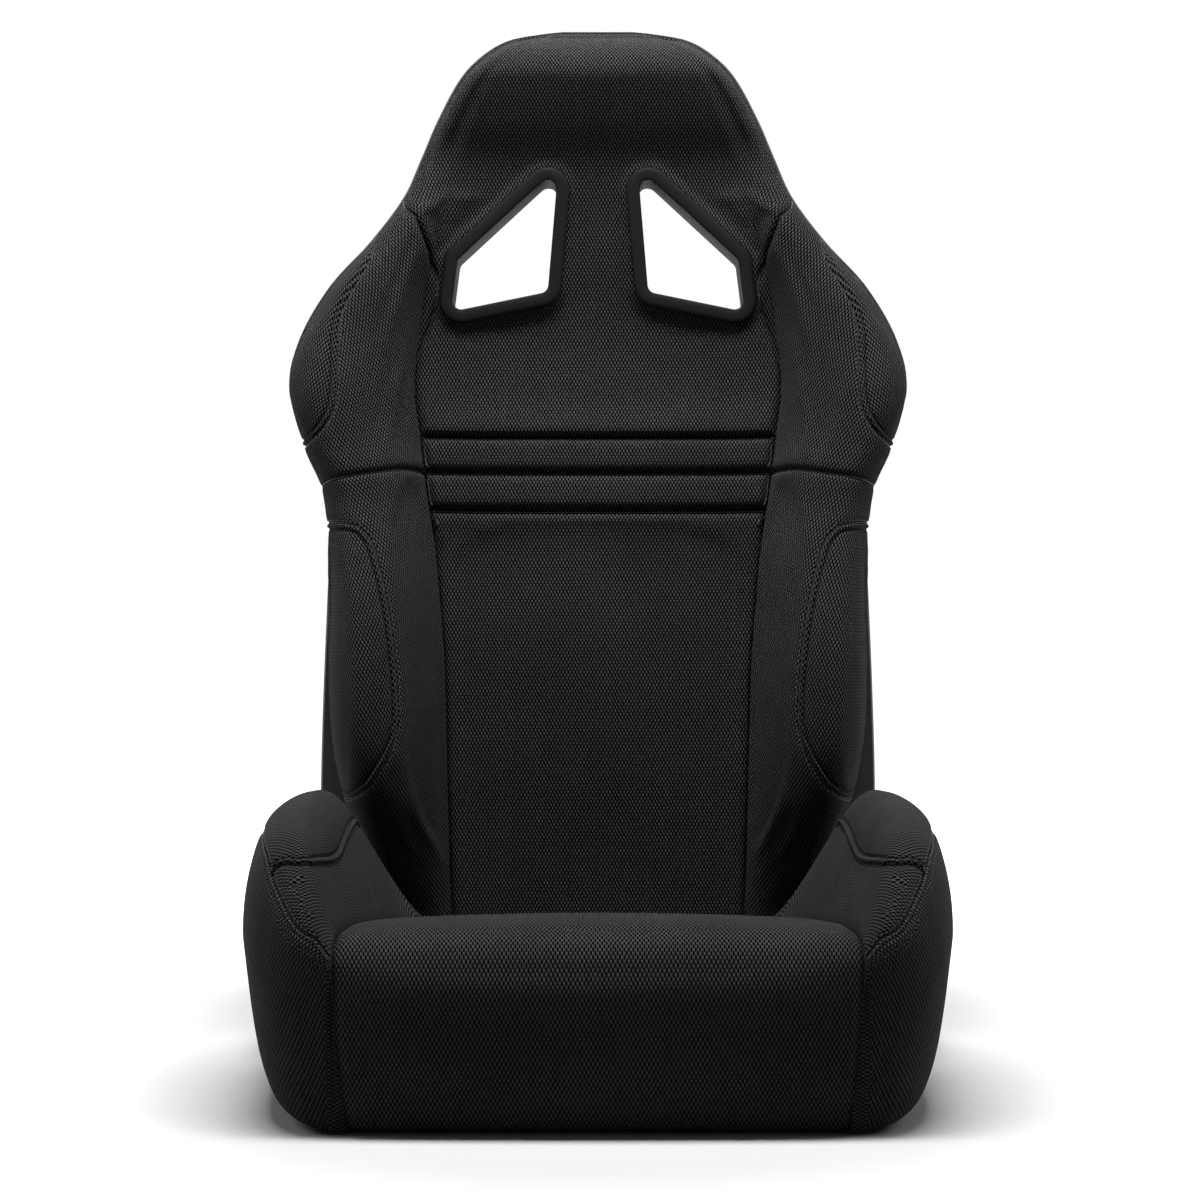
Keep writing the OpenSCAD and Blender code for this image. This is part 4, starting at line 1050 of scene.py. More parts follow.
def seam_line(skin, seam, radius=0.6):
    """Thin near-black cord sunk into a seam's valley: painted shade along the seam."""
    normal, side, _ = seam_frame(skin, seam)
    picks = every(seam.points, SEAM_CORD_STEP)
    path = lay_on(skin.piece, seam.points[picks], normal[picks], -SEAM_CORD_SINK)
    rings = cord_rings(path, side[picks], normal[picks], radius, SEAM_CORD_SIDES)
    return list(rings.reshape(-1, 3)), ring_faces(len(path), SEAM_CORD_SIDES)


def joined(name, parts, mat, body):
    points, faces = [], []
    for p, f in parts:
        shift = len(points)
        points += list(p)
        faces += [tuple(i + shift for i in face) for face in f]
    mesh = mesh_from(name, np.array(points), faces)
    outward(mesh)
    return add_object(name, mesh, [mat], body, 60.0)


# ---------------------------------------------------------------- backrest upholstery

RIB_SEAMS = (461.0, 494.0, 525.5)
BAND = 6.2
CENTRE_SEAM = [(66, 1.0), (200, 1.0), (400, 1.0), (520, 1.0), (590, 0.995), (633, 0.93),
               (662, 0.925), (682, 1.0), (702, 1.19), (720, 1.45), (733, 1.75), (742, 2.0)]
WAIST_SEAM = [(495, 1.0), (501, 1.2), (500, 1.4), (496, 1.6), (483, 1.87), (478, 2.0)]
SHOULDER_INSERT = [(704, 2.0), (703, 1.9), (698, 1.78), (690, 1.7), (676, 1.65), (660, 1.635),
                   (640, 1.62), (618, 1.58), (597, 1.54), (572, 1.52), (552, 1.55), (536, 1.63),
                   (524, 1.76), (518, 1.88), (515, 2.0)]
LUMBAR_INSERT = [(448, 2.0), (452, 1.85), (456, 1.7), (455, 1.6), (450, 1.55), (441, 1.505),
                 (420, 1.465), (396, 1.43), (369, 1.4), (330, 1.375), (303, 1.37), (279, 1.38),
                 (258, 1.43), (243, 1.5), (228, 1.58), (217, 1.7), (212, 1.85), (211, 2.0)]


STEP = 4.0


def insert_area(outline):
    """An insert's outline, closed beyond the backrest's edge."""
    return np.array(outline + [(outline[-1][0], 2.2), (outline[0][0], 2.2)])


def backrest_rows(step):
    quarter = np.linspace(0, math.pi / 2, 22)
    foot = PIVOT_Z - (PIVOT_Z - FOOT_H) * np.sin(quarter[::-1])
    crest = CREST_H + (TOP_H - CREST_H) * np.sin(quarter)
    body = np.linspace(PIVOT_Z, CREST_H, int((CREST_H - PIVOT_Z) / step) + 1)
    return np.concatenate([foot[:-1], body, crest[1:]])


def mirrored_cols(surface, centre_width, samples, step):
    """Columns over a form that is mirrored about its middle, closer where it curves."""
    centre = np.linspace(0, 1, int(centre_width / step) + 1)
    side = 1 + even_steps(surface(330.0, np.linspace(1, 2, samples)), step)
    half = np.concatenate([centre[:-1], side])
    return np.concatenate([-half[:0:-1], half])


def make_backrest():
    skin = Skin("backrest_upholstery", back_point, backrest_rows(STEP),
                mirrored_cols(back_point, 150, 400, STEP), -1, level_rows=True)
    for mirrored in (False, True):
        skin.seams += [Seam(back_point, CENTRE_SEAM, "plain", mirrored),
                       Seam(back_point, WAIST_SEAM, "plain", mirrored),
                       Seam(back_point, SHOULDER_INSERT, "insert", mirrored),
                       Seam(back_point, LUMBAR_INSERT, "insert", mirrored)]
    for h in RIB_SEAMS:
        skin.seams.append(Seam(back_point, [(h, u) for u in (-1.0, -0.5, 0.0, 0.5, 1.0)], "rib"))
    return skin


def back_edge(a, b):
    return np.where((np.abs(b) > 1.93) | (a < FOOT_H + 6) | (a > TOP_H - 1), 1.0, 0.0)


def insert_depth(h, u, near):
    """Distance to the insert panels' seams, above 0 inside a panel."""
    inside = np.zeros(h.shape, bool)
    for outline in (SHOULDER_INSERT, LUMBAR_INSERT):
        inside |= inside_outline(insert_area(outline), h, np.abs(u))
    return np.where(inside, near, -near)


# Relief of the backrest, as height and reach in millimetres: puffed cloth beside a seam, the
# seam's valley, the padded ribs, the channels between them, and the insert panels
PUFF, VALLEY = (2.2, 9.0), (3.2, 2.1)
RIB_HIGH, RIB_PUFF, RIB_CHANNEL = 7.0, (4.2, 11.0), (5.6, 2.8)
INSERT_LINES, INSERT_BAND = ((1.9, 1.4), (1.5, 1.3)), (1.1, 1.8)
INSERT_CROWN, INSERT_PUFF = (2.4, 16.0), (0.9, 8.0)
# From a form's middle to its seam, and from its seam to its edge
SEAM_WIDTH, EDGE_WIDTH = 150.0, 120.0


def puff(d, size):
    """Height of cloth that puffs up beside a line."""
    return size[0] * swell(d, size[1])


def line_height(d, size):
    """Height or depth of a narrow line along d = 0."""
    return size[0] * bell(d, size[1])


def shape_backrest(skin):
    def shape(h, u, spot, normal, pushed):
        side = np.abs(u)
        plain, rib = [distance_to(skin.lines(kind), spot) for kind in ("plain", "rib")]
        depth = insert_depth(h, u, distance_to(skin.lines("insert"), spot))
        edge_gap = (2.0 - side) * EDGE_WIDTH
        end_gap = np.minimum(h - FOOT_H, (TOP_H - h) * 6.0)
        rim = smooth(np.minimum(edge_gap, end_gap), 0.0, 10.0)
        free = smooth(np.minimum(plain, np.minimum(rib, np.abs(depth - BAND / 2))), 1.0, 14.0)
        calm = 1.0 - 0.75 * smooth(side, 1.45, 1.85)
        move = calm * (puff(plain, PUFF) - line_height(plain, VALLEY))
        # Two padded ribs between three deep channels
        ends = smooth((1.0 - side) * SEAM_WIDTH, 0.0, 9.0)
        for low, high in zip(RIB_SEAMS, RIB_SEAMS[1:]):
            t = np.clip((h - (low + high) / 2) / ((high - low) / 2), -1, 1)
            move += np.where(side < 1, ends * RIB_HIGH * (1 - np.abs(t) ** 2.6) ** 0.6, 0.0)
        outer = (h < RIB_SEAMS[0]) | (h > RIB_SEAMS[-1])
        move += np.where(outer & (side < 1), ends * puff(rib, RIB_PUFF), 0.0)
        move -= np.where(side < 1.02, ends, 0.0) * line_height(rib, RIB_CHANNEL)
        # Insert panels: two sewn lines with a raised band between, then a low crown
        move -= line_height(depth, INSERT_LINES[0]) + line_height(depth - BAND, INSERT_LINES[1])
        move += line_height(depth - BAND / 2, INSERT_BAND)
        high, reach = INSERT_CROWN
        move += np.where(depth > BAND, high * (1 - np.exp(-(depth - BAND) / reach)), 0.0)
        move += np.where(depth < 0, puff(depth, INSERT_PUFF), 0.0)
        final = spot + normal * (move * rim)[:, None] + pushed * (free * rim)[:, None]
        # The cloth tucks under the slot bezels
        across, behind, up = seat_to_slot(final)
        gap = slot_distance(across, up)
        tuck = (1.0 - smooth(gap, BEZEL_W - 1.0, BEZEL_W + 7.0)) * (1.0 - smooth(side, 0.99, 1.1))
        down = (-BEZEL_LIFT + 0.7 - behind) * tuck
        final = final + np.outer(down, (0.0, math.cos(SLOT_TILT), -math.sin(SLOT_TILT)))
        # Painted shade: the cloth's colour is darkened along its seams and just outside the
        # bezels, where they overhang it
        painted_shade = np.maximum(0.9 * bell(plain, 1.8), np.where(side < 1.02, bell(rib, 3.0), 0.0))
        painted_shade = np.maximum(painted_shade, 0.85 * np.maximum(bell(depth, 1.1), bell(depth - BAND, 1.1)))
        painted_shade = np.maximum(painted_shade, 0.8 * bell(np.maximum(gap - BEZEL_W, 0), 1.6))
        return final, painted_shade
    return shape


BOLSTER_SLANT, SHOULDER_SLANT, LUMBAR_SLANT = 14.0, -20.0, 6.0
HEAD_FROM = 735
BACK_CELL_U, BACK_CELL_V = 3.1, 5.8


def backrest_panels(h, u):
    """Grain angle and cell size of the weave on each panel."""
    side = np.abs(u)
    slant = np.where(side > 1.0, BOLSTER_SLANT, 0.0)
    for outline, turned in ((SHOULDER_INSERT, SHOULDER_SLANT), (LUMBAR_INSERT, LUMBAR_SLANT)):
        slant = np.where(inside_outline(insert_area(outline), h, side), turned, slant)
    slant = np.radians(np.where(h > HEAD_FROM, 0.0, slant))
    return slant * -np.sign(u), np.full(h.shape, BACK_CELL_U), np.full(h.shape, BACK_CELL_V)


# ---------------------------------------------------------------- base upholstery

OUTER_SEAM = [(397, 2.42), (300, 2.47), (212, 2.5), (140, 2.56), (92, 2.6), (66, 2.62), (48, 2.64),
              (30, 2.68), (18, 2.73), (10, 2.84), (6, 3.1), (4.5, 3.5), (4, 3.98)]
CAP_SEAM = [(52, 2.64), (50, 2.78), (46, 3.0), (52, 3.24), (71, 3.42), (111, 3.53), (156, 3.55),
            (201, 3.51), (250, 3.44), (310, 3.37), (397, 3.3)]
CAP_AREA = np.array(CAP_SEAM + [(420, 3.3), (420, 2.4)] + OUTER_SEAM[:6])


def under_outer_seam(s, v):
    return v < np.interp(-s, [-p[0] for p in OUTER_SEAM], [p[1] for p in OUTER_SEAM])


def bolster_closing(sign):
    """From the seam down over the pan and out again to the lower rim."""
    def close(s, points):
        first, last = points[:, 0], points[:, -1]
        joint = np.array(FRONT_JOINT)
        ahead = 1.0 - smooth(s, 40.0, 60.0)
        steps = []
        for share in (0.8, 0.6, 0.4, 0.2, 0.08):
            z = mix(RIM_Z, last[:, 2], share)
            behind = np.minimum(np.abs(last[:, 0]) + 1.0, np.abs(first[:, 0]) + 2.0)
            x = mix(behind, np.interp(z, joint[:, 0], joint[:, 1]) + 0.3, ahead)
            steps.append(np.stack([sign * x, FRONT_Y + s + front_lean(s, z), z], axis=1))
        return np.stack(steps, axis=1)
    return close


def bolster_rows(step):
    s = np.linspace(1, BASE_END, 1200)
    outline = np.column_stack([curve(BASE, s, 1), s])
    return 1 + (BASE_END - 1) * even_steps(outline, step)


def bolster_cols(step):
    v = np.linspace(0, 4, 800)
    return 4 * even_steps(bolster_point(150.0, v), step)


def make_bolster(name, sign):
    def surface(s, v):
        return bolster_point(s, v) * (sign, 1, 1)

    skin = Skin(name, surface, bolster_rows(STEP), bolster_cols(STEP), sign, bolster_closing(sign))
    skin.sign = sign
    skin.seams = [Seam(surface, OUTER_SEAM, "outer"), Seam(surface, CAP_SEAM, "cap")]
    return skin


def bolster_edge(s, v):
    return np.where((v < 0.3) | (v > 3.93) | (s < 4) | (s > 394), 1.0, 0.0)


# Relief of a base bolster, as height and reach: its outer seam with a sewn line below it, and
# the cap's band between two sewn lines
FOLD, FOLD_VALLEY, FOLD_LINE, FOLD_LINE_AT = (1.6, 9.0), (2.6, 1.7), (1.2, 1.2), 5.0
CAP_BAND, CAP_LINES, CAP_WELT = BAND + 1.0, ((2.2, 1.6), (1.6, 1.4)), (1.9, 2.4)
CAP_CROWN = (1.4, 14.0)
ROLL_DOWN, ROLL_REACH = 5.0, 9.0


def shape_bolster(skin):
    def shape(s, v, spot, normal, pushed):
        # Distances, above 0 below the outer seam and on the cap
        outer, cap = [distance_to(skin.lines(kind), spot) for kind in ("outer", "cap")]
        outer = np.where(under_outer_seam(s, v), outer, -outer)
        cap = np.where(inside_outline(CAP_AREA, s, v), cap, -cap)
        gap = np.minimum((4.0 - v) * EDGE_WIDTH, 99)
        ends = np.minimum(s - 1.0, BASE_END - s)
        rim = smooth(np.minimum(v * 60.0, ends * 2.0), 0.0, 12.0) * smooth(gap, -3.0, 9.0)
        lines = np.minimum(np.abs(outer), np.abs(cap - BAND / 2))
        free = smooth(lines, 1.0, 14.0)
        # Outer seam: folded edge with a sewn line on its lower side
        move = puff(outer, FOLD) - line_height(outer, FOLD_VALLEY)
        move -= np.where(outer > 0, line_height(outer - FOLD_LINE_AT, FOLD_LINE), 0.0)
        # Cap: raised welt band between two sewn lines
        move -= line_height(cap, CAP_LINES[0]) + line_height(cap - CAP_BAND, CAP_LINES[1])
        move += line_height(cap - CAP_BAND / 2, CAP_WELT)
        high, reach = CAP_CROWN
        move += np.where(cap > CAP_BAND, high * (1 - np.exp(-(cap - CAP_BAND) / reach)), 0.0)
        final = spot + normal * (move * rim)[:, None] + pushed * (free * rim)[:, None]
        # The inner edge rolls down into the gap beside the cushion
        roll = ROLL_DOWN * (1 - smooth(gap, 0.0, ROLL_REACH)) ** 1.5
        final = final + np.stack([skin.sign * roll * 0.12, 0 * roll, -roll], axis=1)
        # Painted shade: darker cloth along the seams and where the inner edge rolls down into the
        # gap
        painted_shade = np.maximum(0.85 * bell(outer, 1.4),
                            np.where(outer > 0, 0.5 * bell(outer - FOLD_LINE_AT, 1.0), 0))
        cap_lines = np.maximum(bell(cap, 1.3), 0.8 * bell(cap - CAP_BAND, 1.1))
        painted_shade = np.maximum(painted_shade, 0.85 * cap_lines)
        return final, np.maximum(painted_shade, 1.0 - smooth(gap, 0.0, 6.0))
    return shape


def bolster_panels(s, v):
    lower = under_outer_seam(s, v)
    angle = np.where(lower, 96.0, np.where(inside_outline(CAP_AREA, s, v), 60.0, 70.0))
    return np.radians(angle), np.where(lower, 3.5, 3.3), np.where(lower, 6.6, 6.0)


# Where the cushion's section turns down into its front
CUSHION_TURN = CUSHION[len(CUSHION_REAR) + 1, 0]


def cushion_closing(a, points):
    """From one side of the cushion down to the pan, across and up again."""
    left, right = points[:, 0], points[:, -1]
    top = a < CUSHION_TURN
    low = np.where(top, PAN_TOP, np.clip(right[:, 2] + 1.5, RIM_Z, PAN_TOP - 1.0))
    y = np.where(top, np.maximum(right[:, 1], FRONT_Y + 44.0), FRONT_Y + 42.0)
    mid = mix(right[:, 2], low, 0.5)
    half = np.abs(right[:, 0])
    steps = [(half - 0.4, mix(right[:, 1], y, 0.5), mid), (half - 1.0, y, low),
             (-(half - 1.0), y, low), (-(half - 0.4), mix(right[:, 1], y, 0.5), mid)]
    return np.stack([np.stack([x, yy, zz], axis=1) for x, yy, zz in steps], axis=1)


def make_cushion():
    rows = np.linspace(0, CUSHION_LEN, int(CUSHION_LEN / STEP) + 1)
    cols = np.linspace(-1, 1, int(420 / STEP) + 1)
    return Skin("cushion_upholstery", cushion_point, rows, cols, 1, cushion_closing)


def cushion_edge(a, u):
    return np.where((np.abs(u) > 0.97) | (a < 8) | (a > CUSHION_LEN - 20), 1.0, 0.0)


CUSHION_HALF, CUSHION_ROLL = 195.0, 4.2


def shape_cushion(a, u, spot, normal, pushed):
    """Rolls the cushion's sides down into the gaps beside the bolsters, with painted shade in the
    cloth there.
    """
    gap = (1.0 - np.abs(u)) * CUSHION_HALF
    ends = np.minimum(a, CUSHION_LEN - a)
    rim = smooth(gap, 0.0, 10.0) * smooth(ends, 0.0, 14.0)
    roll = CUSHION_ROLL * (1 - smooth(gap, 0.0, ROLL_REACH)) ** 1.5 * smooth(ends, 0.0, 20.0)
    final = spot - normal * roll[:, None] + pushed * rim[:, None]
    return final, 1.0 - smooth(gap, 0.0, 5.0)


def cushion_panels(a, u):
    front = a > CUSHION_TURN
    return np.zeros(a.shape), np.where(front, 3.55, 3.4), np.where(front, 6.9, 6.4)


# ---------------------------------------------------------------- back shell

# The shell's lower edge, where it starts to follow the cover, and where it rounds to the crest
SHELL_LOW, SHELL_JOIN, SHELL_CREST = 150.0, 480.0, 790.0
SHELL_ROWS = [[150, 250], [220, 250], [300, 248], [380, 245], [430, 243], [480, 248]]
SHELL_FLAT = 0.45
SHELL_BAND = 24.0


def shell_half_w(h):
    return np.where(h <= SHELL_JOIN, curve(SHELL_ROWS, h, 1), curve(BACK, h, 1) + 1.0)


def shell_point(h, u, inset=0.0):
    """Back shell at height h: u is 0 in the middle, 1 where it curves and 2 at its rim."""
    h, u = np.broadcast_arrays(np.asarray(h, float), np.asarray(u, float))
    z = h - np.where(h > SHELL_JOIN, inset * (h - SHELL_JOIN) / (TOP_H - SHELL_JOIN), 0.0)
    wide = shell_half_w(h) - inset
    deep = np.maximum(SHELL_DEPTH * dome(h, SHELL_CREST, TOP_H) - inset, 0)
    flat, side = SHELL_FLAT * wide, np.abs(u)
    t = np.clip(side - 1, 0, 1)
    x = np.where(side <= 1, flat * side, bezier(flat, 0.86 * wide, wide - 1, wide, t))
    depth = np.where(side <= 1, deep, bezier(deep, deep, 0.72 * deep, 0.0, t))
    return np.stack([np.sign(u) * x, plane_y(z) + depth + 0.3, z], axis=-1)


def shell_rows(step):
    crest = SHELL_CREST + (TOP_H - SHELL_CREST) * np.sin(np.linspace(0, math.pi / 2, 32))
    body = np.linspace(SHELL_LOW, SHELL_CREST, int((SHELL_CREST - SHELL_LOW) / step) + 1)
    return np.concatenate([body[:-1], crest])


def shell_closing(h, points):
    """Flange behind the cover's edge, and the inner skin back to the other rim."""
    right = points[:, -1]
    lip = np.minimum(curve(BACK, h, 1) - 7.0, right[:, 0] - 4.0)
    y = right[:, 1]
    inner_us = (1.82, 1.6, 1.3, 1.0, 0.0, -1.0, -1.3, -1.6, -1.82)
    steps = [np.stack([right[:, 0] - 0.6, y - 1.0, right[:, 2]], 1),
             np.stack([lip, y + 0.2, right[:, 2]], 1), np.stack([lip, y + 2.4, right[:, 2]], 1)]
    steps += [shell_point(h, u, SHELL_WALL) for u in inner_us]
    mirror = np.array([-1, 1, 1])
    steps += [steps[2] * mirror, steps[1] * mirror, steps[0] * mirror]
    return np.stack(steps, axis=1)


def shape_shell(h, u, spot, normal, pushed):
    """A raised border band, which stops short of the slots."""
    side = np.abs(u)
    rim_gap = np.minimum(np.maximum(2.0 - side, 0) * 150.0, (TOP_H - h) * 1.6)
    rim_gap = np.minimum(rim_gap, h - SHELL_LOW + 6)
    band = smooth(rim_gap, 0.0, 4.0) * (1.0 - smooth(rim_gap, SHELL_BAND, SHELL_BAND + 4.0))
    across, _, up = seat_to_slot(spot - np.array([0, 0, -SLOT_DROP]))
    pad = 1.0 - smooth(slot_distance(across, up), 12.0, 17.0)
    move = 1.6 * band * (1.0 - pad)
    return spot + normal * move[:, None], 0 * h


def make_shell(mats):
    skin = Skin("back_shell_moulding", shell_point, shell_rows(STEP),
                mirrored_cols(shell_point, 110, 300, STEP), 1, shell_closing)
    piece = skin.build(shape_shell, lambda a, b: (0 * a, 1 + 0 * a, 1 + 0 * a), mats, "backrest",
                       "black_plastic", slot_cutters(TUNNEL_WALL + CUT_PLAY))
    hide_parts("back_shell")


# ---------------------------------------------------------------- mouldings


def side_name(side):
    return "left" if side < 0 else "right"


def slot_rings(profile, place):
    """Rings round the slot: the profile gives how far out and how deep each lies."""
    outlines = [(rounded_outline(SLOT_CORNERS, grow, SLOT_ROUND + grow), deep)
                for grow, deep in profile]
    return np.array([place(line[:, 0], deep, line[:, 1]) for line, deep in outlines])


def slot_bezel(side, mat):
    """Soft-edged flange on the cloth, with the tunnel through the backrest behind it."""
    name = side_name(side)
    face = -BEZEL_LIFT - BEZEL_T
    profile = [(0.0, TUNNEL_LEN), (0.0, 12.0), (0.0, face + 2.4), (0.2, face + 1.2),
               (0.8, face + 0.4), (1.8, face), (5.0, face - 0.3), (8.6, face - 0.1),
               (10.4, face + 0.4), (11.5, face + 1.3), (BEZEL_W, face + 2.6),
               (BEZEL_W - 0.4, -BEZEL_LIFT + 0.9),
               (TUNNEL_WALL + 0.6, -BEZEL_LIFT + 1.0), (TUNNEL_WALL, 2.0),
               (TUNNEL_WALL, TUNNEL_LEN)]
    rings = slot_rings(profile, lambda x, deep, up: slot_to_seat(x, deep, up, side))
    mesh = ring_mesh("bezel", rings, True)
    piece = add_object(f"slot_bezel_moulding_{name}", mesh, [mat], "backrest",
                       50.0)
    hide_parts(f"slot_bezel_{name}")


def slot_rear_bezel(side, mat):
    """Rounded ring on the shell, round the tunnel's rear end."""
    name = side_name(side)
    z0 = SLOT_H - SLOT_DROP
    y0 = plane_y(z0) + SHELL_DEPTH + 0.6
    lean = math.atan(LEAN)
    profile = [(1.0, -1.2), (1.0, 1.9), (1.5, 2.7), (2.6, 3.1), (6.4, 3.3), (10.0, 3.0),
               (11.5, 2.3), (BEZEL_W, 1.2), (BEZEL_W, -1.2)]

    def place(x, deep, up):
        y = deep * math.cos(lean) + up * math.sin(lean)
        z = -deep * math.sin(lean) + up * math.cos(lean)
        return np.stack([side * x, y0 + y, z0 + z], axis=1)

    mesh = ring_mesh("rear_bezel", slot_rings(profile, place), True)
    piece = add_object(f"slot_rear_ring_{name}", mesh, [mat], "backrest", 50.0)
    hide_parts(f"slot_rear_bezel_{name}")


def two_discs(a, ra, b, rb, steps=20, along=10):
    """Outline of two discs and the straight sides that join them, as (y, z)."""
    a, b = np.asarray(a, float), np.asarray(b, float)
    turn = math.acos((ra - rb) / np.linalg.norm(b - a))
    way = math.atan2(b[1] - a[1], b[0] - a[0])
    arc_a = way + turn + (2 * math.pi - 2 * turn) * np.linspace(0, 1, steps + 1)
    arc_b = way - turn + 2 * turn * np.linspace(0, 1, steps + 1)
    big = a + ra * np.column_stack([np.cos(arc_a), np.sin(arc_a)])
    small = b + rb * np.column_stack([np.cos(arc_b), np.sin(arc_b)])
    t = np.linspace(0, 1, along + 2)[1:-1, None]
    return np.concatenate([big, mix(big[-1], small[0], t), small, mix(small[-1], big[0], t)])


def disc_moulding(name, side, a, ra, b, rb, profile, mat, body, ripple=None, cutters=None):
    """Moulding over a two-disc outline: the profile gives inset and x for each ring."""
    rings = []
    for inset, x in profile:
        outline = two_discs(a, ra - inset, b, rb - inset)
        if ripple is not None:
            outline = ripple(outline, inset)
        rings.append(np.column_stack([np.full(len(outline), side * x), outline]))
    mesh = ring_mesh(name, np.array(rings))
    if cutters:
        mesh = cut(name, mesh, cutters)
    return add_object(name, mesh, [mat], body, 35.0)


BAR_SIDES = 40


def round_bar(side, x0, x1, y, z, radius):
    t = np.linspace(0, 2 * math.pi, BAR_SIDES, endpoint=False)
    ring = np.column_stack([y + radius * np.cos(t), z + radius * np.sin(t)])
    rings = [np.column_stack([np.full(BAR_SIDES, side * x), ring]) for x in (x0, x1)]
    return ring_mesh("bar", np.array(rings))


SHIELD_IN, SHIELD_OUT, SHIELD_WALL = 218.5, 261.0, 2.5
SHIELD_R, SHIELD_FOOT, SHIELD_FOOT_R = 46.0, (182.0, 42.0), 26.0
ROD_Y, ROD_Z, ROD_R = 172.0, 62.0, 5.0


def recliner_shield(side, mat):
    """Dished cover over the recliner, with a hole for the release rod."""
    name = side_name(side)
    out = SHIELD_OUT
    profile = [(20.0, out - 2.2), (15.5, out - 2.2), (14.0, out - 1.8), (13.0, out - 0.5),
               (11.8, out), (7.0, out), (4.2, out - 0.7), (2.0, out - 2.6), (0.6, out - 5.6),
               (0.0, out - 9.5),
               (0.0, 240.0), (0.0, SHIELD_IN + 1.0), (0.6, SHIELD_IN), (SHIELD_WALL, SHIELD_IN),
               (SHIELD_WALL, 250.0), (7.0, out - 4.5), (20.0, out - 4.8)]
    cutters = [round_bar(side, out - 12, out + 5, ROD_Y, ROD_Z, ROD_R + 1.0)]
    piece = disc_moulding(f"recliner_shield_moulding_{name}", side, (PIVOT_Y, PIVOT_Z), SHIELD_R,
                          SHIELD_FOOT, SHIELD_FOOT_R, profile, mat, "base", cutters=cutters)
    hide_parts(f"recliner_shield_{name}")


LEVER_X, LEVER_T = 277.0, 4.0
LEVER_TIP = np.array([66.0, 104.0])
GRIP_DIR = unit(LEVER_TIP - np.array([ROD_Y, ROD_Z]))


def lever_grip(side, mat):
    """Soft grip with finger scallops along its two long edges."""
    name = side_name(side)
    low, high = LEVER_X - 5.0, LEVER_X + LEVER_T + 5.0
    profile = [(6.0, low), (3.6, low + 0.3), (1.6, low + 1.4), (0.4, low + 3.2), (0.0, low + 5.0),
               (0.0, high - 5.0), (0.4, high - 3.2), (1.6, high - 1.4), (3.6, high - 0.3),
               (6.0, high)]

    def scallops(outline, inset):
        way = (outline - (LEVER_TIP - GRIP_DIR * 28)) @ GRIP_DIR
        off = (outline - LEVER_TIP) @ np.array([-GRIP_DIR[1], GRIP_DIR[0]])
        wave = 0.55 * (1 - np.cos(2 * math.pi * way / 8.5)) * smooth(way, -4, 4)
        wave *= 1 - smooth(way, 38, 46)
        return outline - np.outer(np.sign(off) * wave, [-GRIP_DIR[1], GRIP_DIR[0]])

    piece = disc_moulding(f"lever_grip_moulding_{name}", side, LEVER_TIP - GRIP_DIR * 28, 10.0,
                          LEVER_TIP + GRIP_DIR * 16, 11.5, profile, mat, "release", scallops)
    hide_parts(f"lever_grip_{name}")


def edge_piping(mat):
    """Welt cord round the backrest's rear edge, where the cover meets the shell."""
    rows = backrest_rows(5.0)
    rows = rows[rows > 120]
    wide = curve(BACK, rows, 1)
    half = np.column_stack([wide - 0.9, plane_y(rows) - 0.4, rows])
    path = np.concatenate([half, (half * (-1, 1, 1))[::-1]])
    lengths = even_steps(path, 4.0)
    index = np.linspace(0, 1, len(path))
    path = np.column_stack([np.interp(lengths, index, path[:, k]) for k in range(3)])
    mesh = tube_mesh("piping", path, 1.7, 10)
    add_object("backrest_edge_piping", mesh, [mat], "backrest", 60.0)


# ---------------------------------------------------------------- CAD nodes


def dress(node, mat, width):
    """Gives a CAD node its material and softly broken edges."""
    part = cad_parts[node]
    part.data.materials.clear()
    part.data.materials.append(mat)
    weld = part.modifiers.new("weld", "WELD")
    weld.merge_threshold = 0.00001
    bevel = part.modifiers.new("edges", "BEVEL")
    bevel.width = width * MM
    bevel.segments = 2
    bevel.limit_method = "ANGLE"
    bevel.angle_limit = math.radians(35.0)
    bevel.use_clamp_overlap = True
    normals = part.modifiers.new("normals", "WEIGHTED_NORMAL")
    normals.keep_sharp = True


def both(name):
    return [f"{name}_left", f"{name}_right"]


# ---------------------------------------------------------------- the seat

bpy.context.scene.view_settings.view_transform = "Standard"
add_camera()
for lamp in LAMPS:
    add_lamp(*lamp)
set_world()
add_floor()

cover_cloth = mesh_cloth("mesh_cloth", grey(0.088, 1.03), grey(0.0004))
backing = plain_cloth("backing_cloth", 0.02)
welt = plain_cloth("welt_cloth", 0.018)
sewing = thread("sewing_thread", 0.035)
# Near-black cord colour for the seam valleys: painted shade along the seams
valley = thread("seam_valley_shade", 0.004)
bezel_plastic = moulded_plastic("bezel_plastic", (0.006, 0.0072, 0.0066, 1.0), 0.6, 900.0, 0.12)
shell_plastic = moulded_plastic("shell_plastic", (0.016, 0.016, 0.017, 1.0), 0.48, 620.0)
grip_plastic = moulded_plastic("grip_plastic", (0.014, 0.014, 0.014, 1.0), 0.52, 800.0)
coat = powder_coat("powder_coat", 0.022)
zinc = plated_steel("zinc_plate")

backrest = make_backrest()
cushion = make_cushion()
bolsters = [make_bolster("base_bolster_upholstery_left", -1),
            make_bolster("base_bolster_upholstery_right", 1)]

backrest.simulate_start(back_edge)
cushion.simulate_start(cushion_edge)
for bolster in bolsters:
    bolster.simulate_start(bolster_edge)
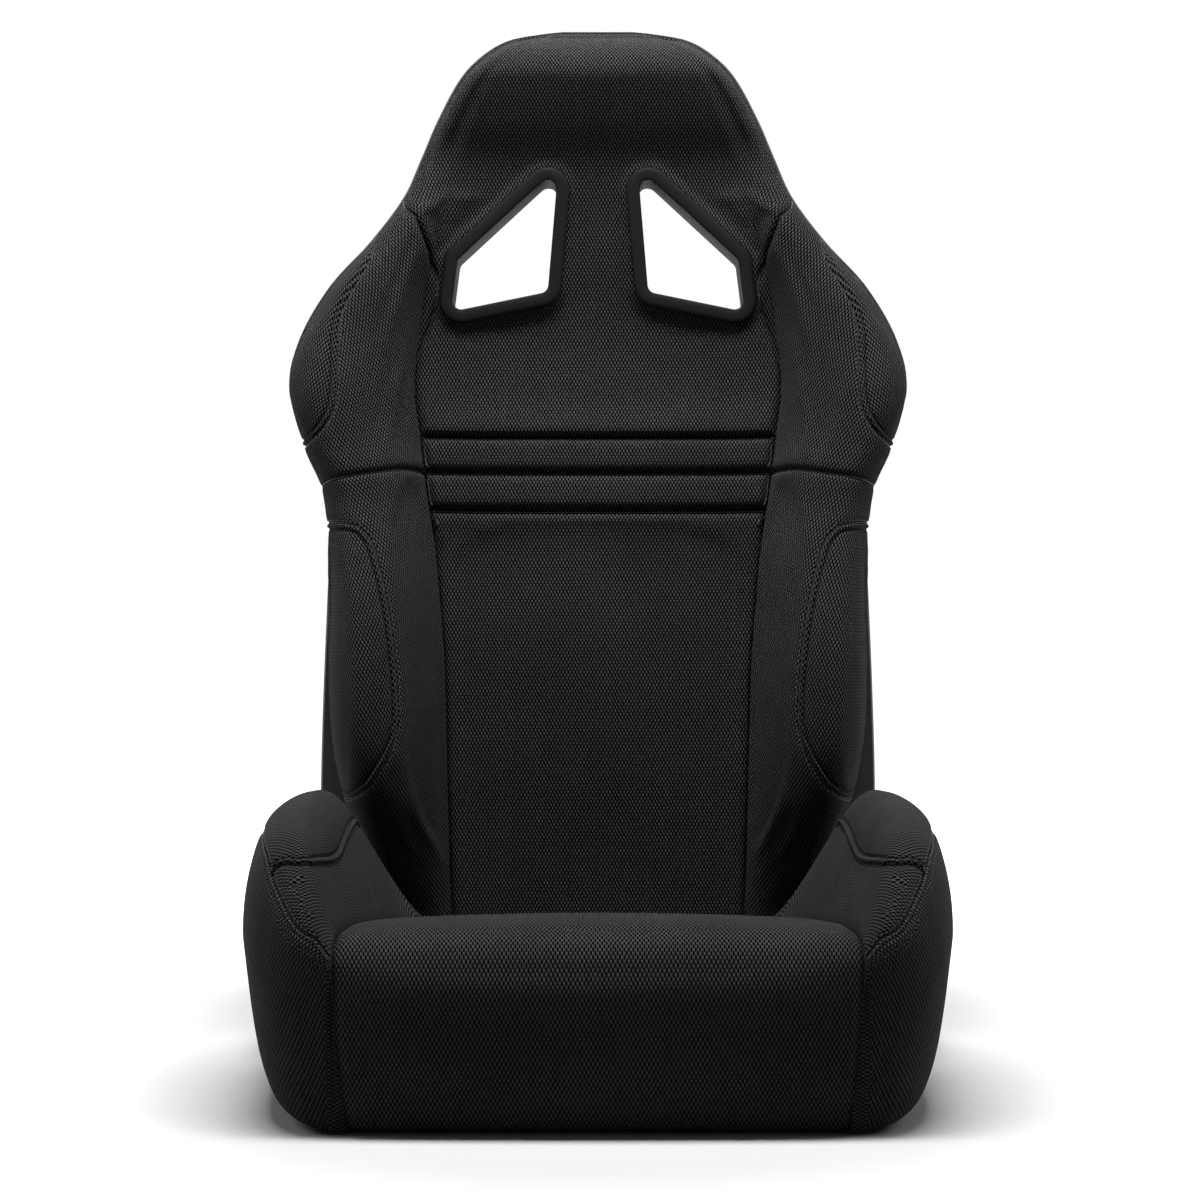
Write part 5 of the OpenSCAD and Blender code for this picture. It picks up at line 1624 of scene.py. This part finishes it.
# The number is the farthest that a point may move, in millimetres
run_cloth([(backrest, 2.6), (cushion, 1.8)] + [(bolster, 2.4) for bolster in bolsters])

cover = [cover_cloth, backing]
piece = backrest.build(shape_backrest(backrest), backrest_panels, cover, "backrest", "cover_cloth",
                       slot_cutters(TUNNEL_WALL + CUT_PLAY))
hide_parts("backrest_cover", "head_foam", "back_centre_foam", *both("back_bolster_foam"))
piece = cushion.build(shape_cushion, cushion_panels, cover, "base", "cover_cloth")
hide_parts("cushion_cover", "cushion_foam")
for bolster, name in zip(bolsters, ("left", "right")):
    piece = bolster.build(shape_bolster(bolster), bolster_panels, cover, "base", "cover_cloth")
    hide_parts(f"base_bolster_cover_{name}", f"base_bolster_foam_{name}")

# Dark cords of painted shade in the seam valleys, and stitches beside the insert seams
lines, stitches = [], []
for seam in backrest.seams:
    lines.append(seam_line(backrest, seam, radius=0.7 if seam.kind != "insert" else 0.5))
    if seam.kind == "insert":
        stitches.append(stitch_row(backrest, seam, 1.7 if seam.places[0, 1] < 0 else -1.7))
joined("backrest_seam_shade_cords", lines, valley, "backrest")
joined("backrest_stitching", stitches, sewing, "backrest")
for bolster, name in zip(bolsters, ("left", "right")):
    joined(f"base_seam_shade_cords_{name}", [seam_line(bolster, s) for s in bolster.seams], valley,
           "base")
    rows = [stitch_row(bolster, bolster.seams[0], offset) for offset in (-2.2, 2.2)]
    joined(f"base_stitching_{name}", rows, sewing, "base")
edge_piping(welt)

make_shell([shell_plastic, shell_plastic])
for side in (-1, 1):
    slot_bezel(side, bezel_plastic)
    slot_rear_bezel(side, bezel_plastic)
    recliner_shield(side, shell_plastic)
    lever_grip(side, grip_plastic)

for node in (both("side_rail") + ["cross_tubes", "seat_pan", "pan_bars", "back_hoop",
                                  "back_cross_bars", "shell_screws", "shield_screws"]
             + both("recliner_plate") + both("recliner_arm") + both("release_lever")):
    dress(node, coat, 0.5)
for node in (["weld_nuts", "spring_pegs", "back_wires", "shell_standoffs", "release_rod"]
             + both("recline_spring") + both("pivot_bolt") + both("recliner_pawl")):
    dress(node, zinc, 0.35)
dress("trim_strips", shell_plastic, 0.8)
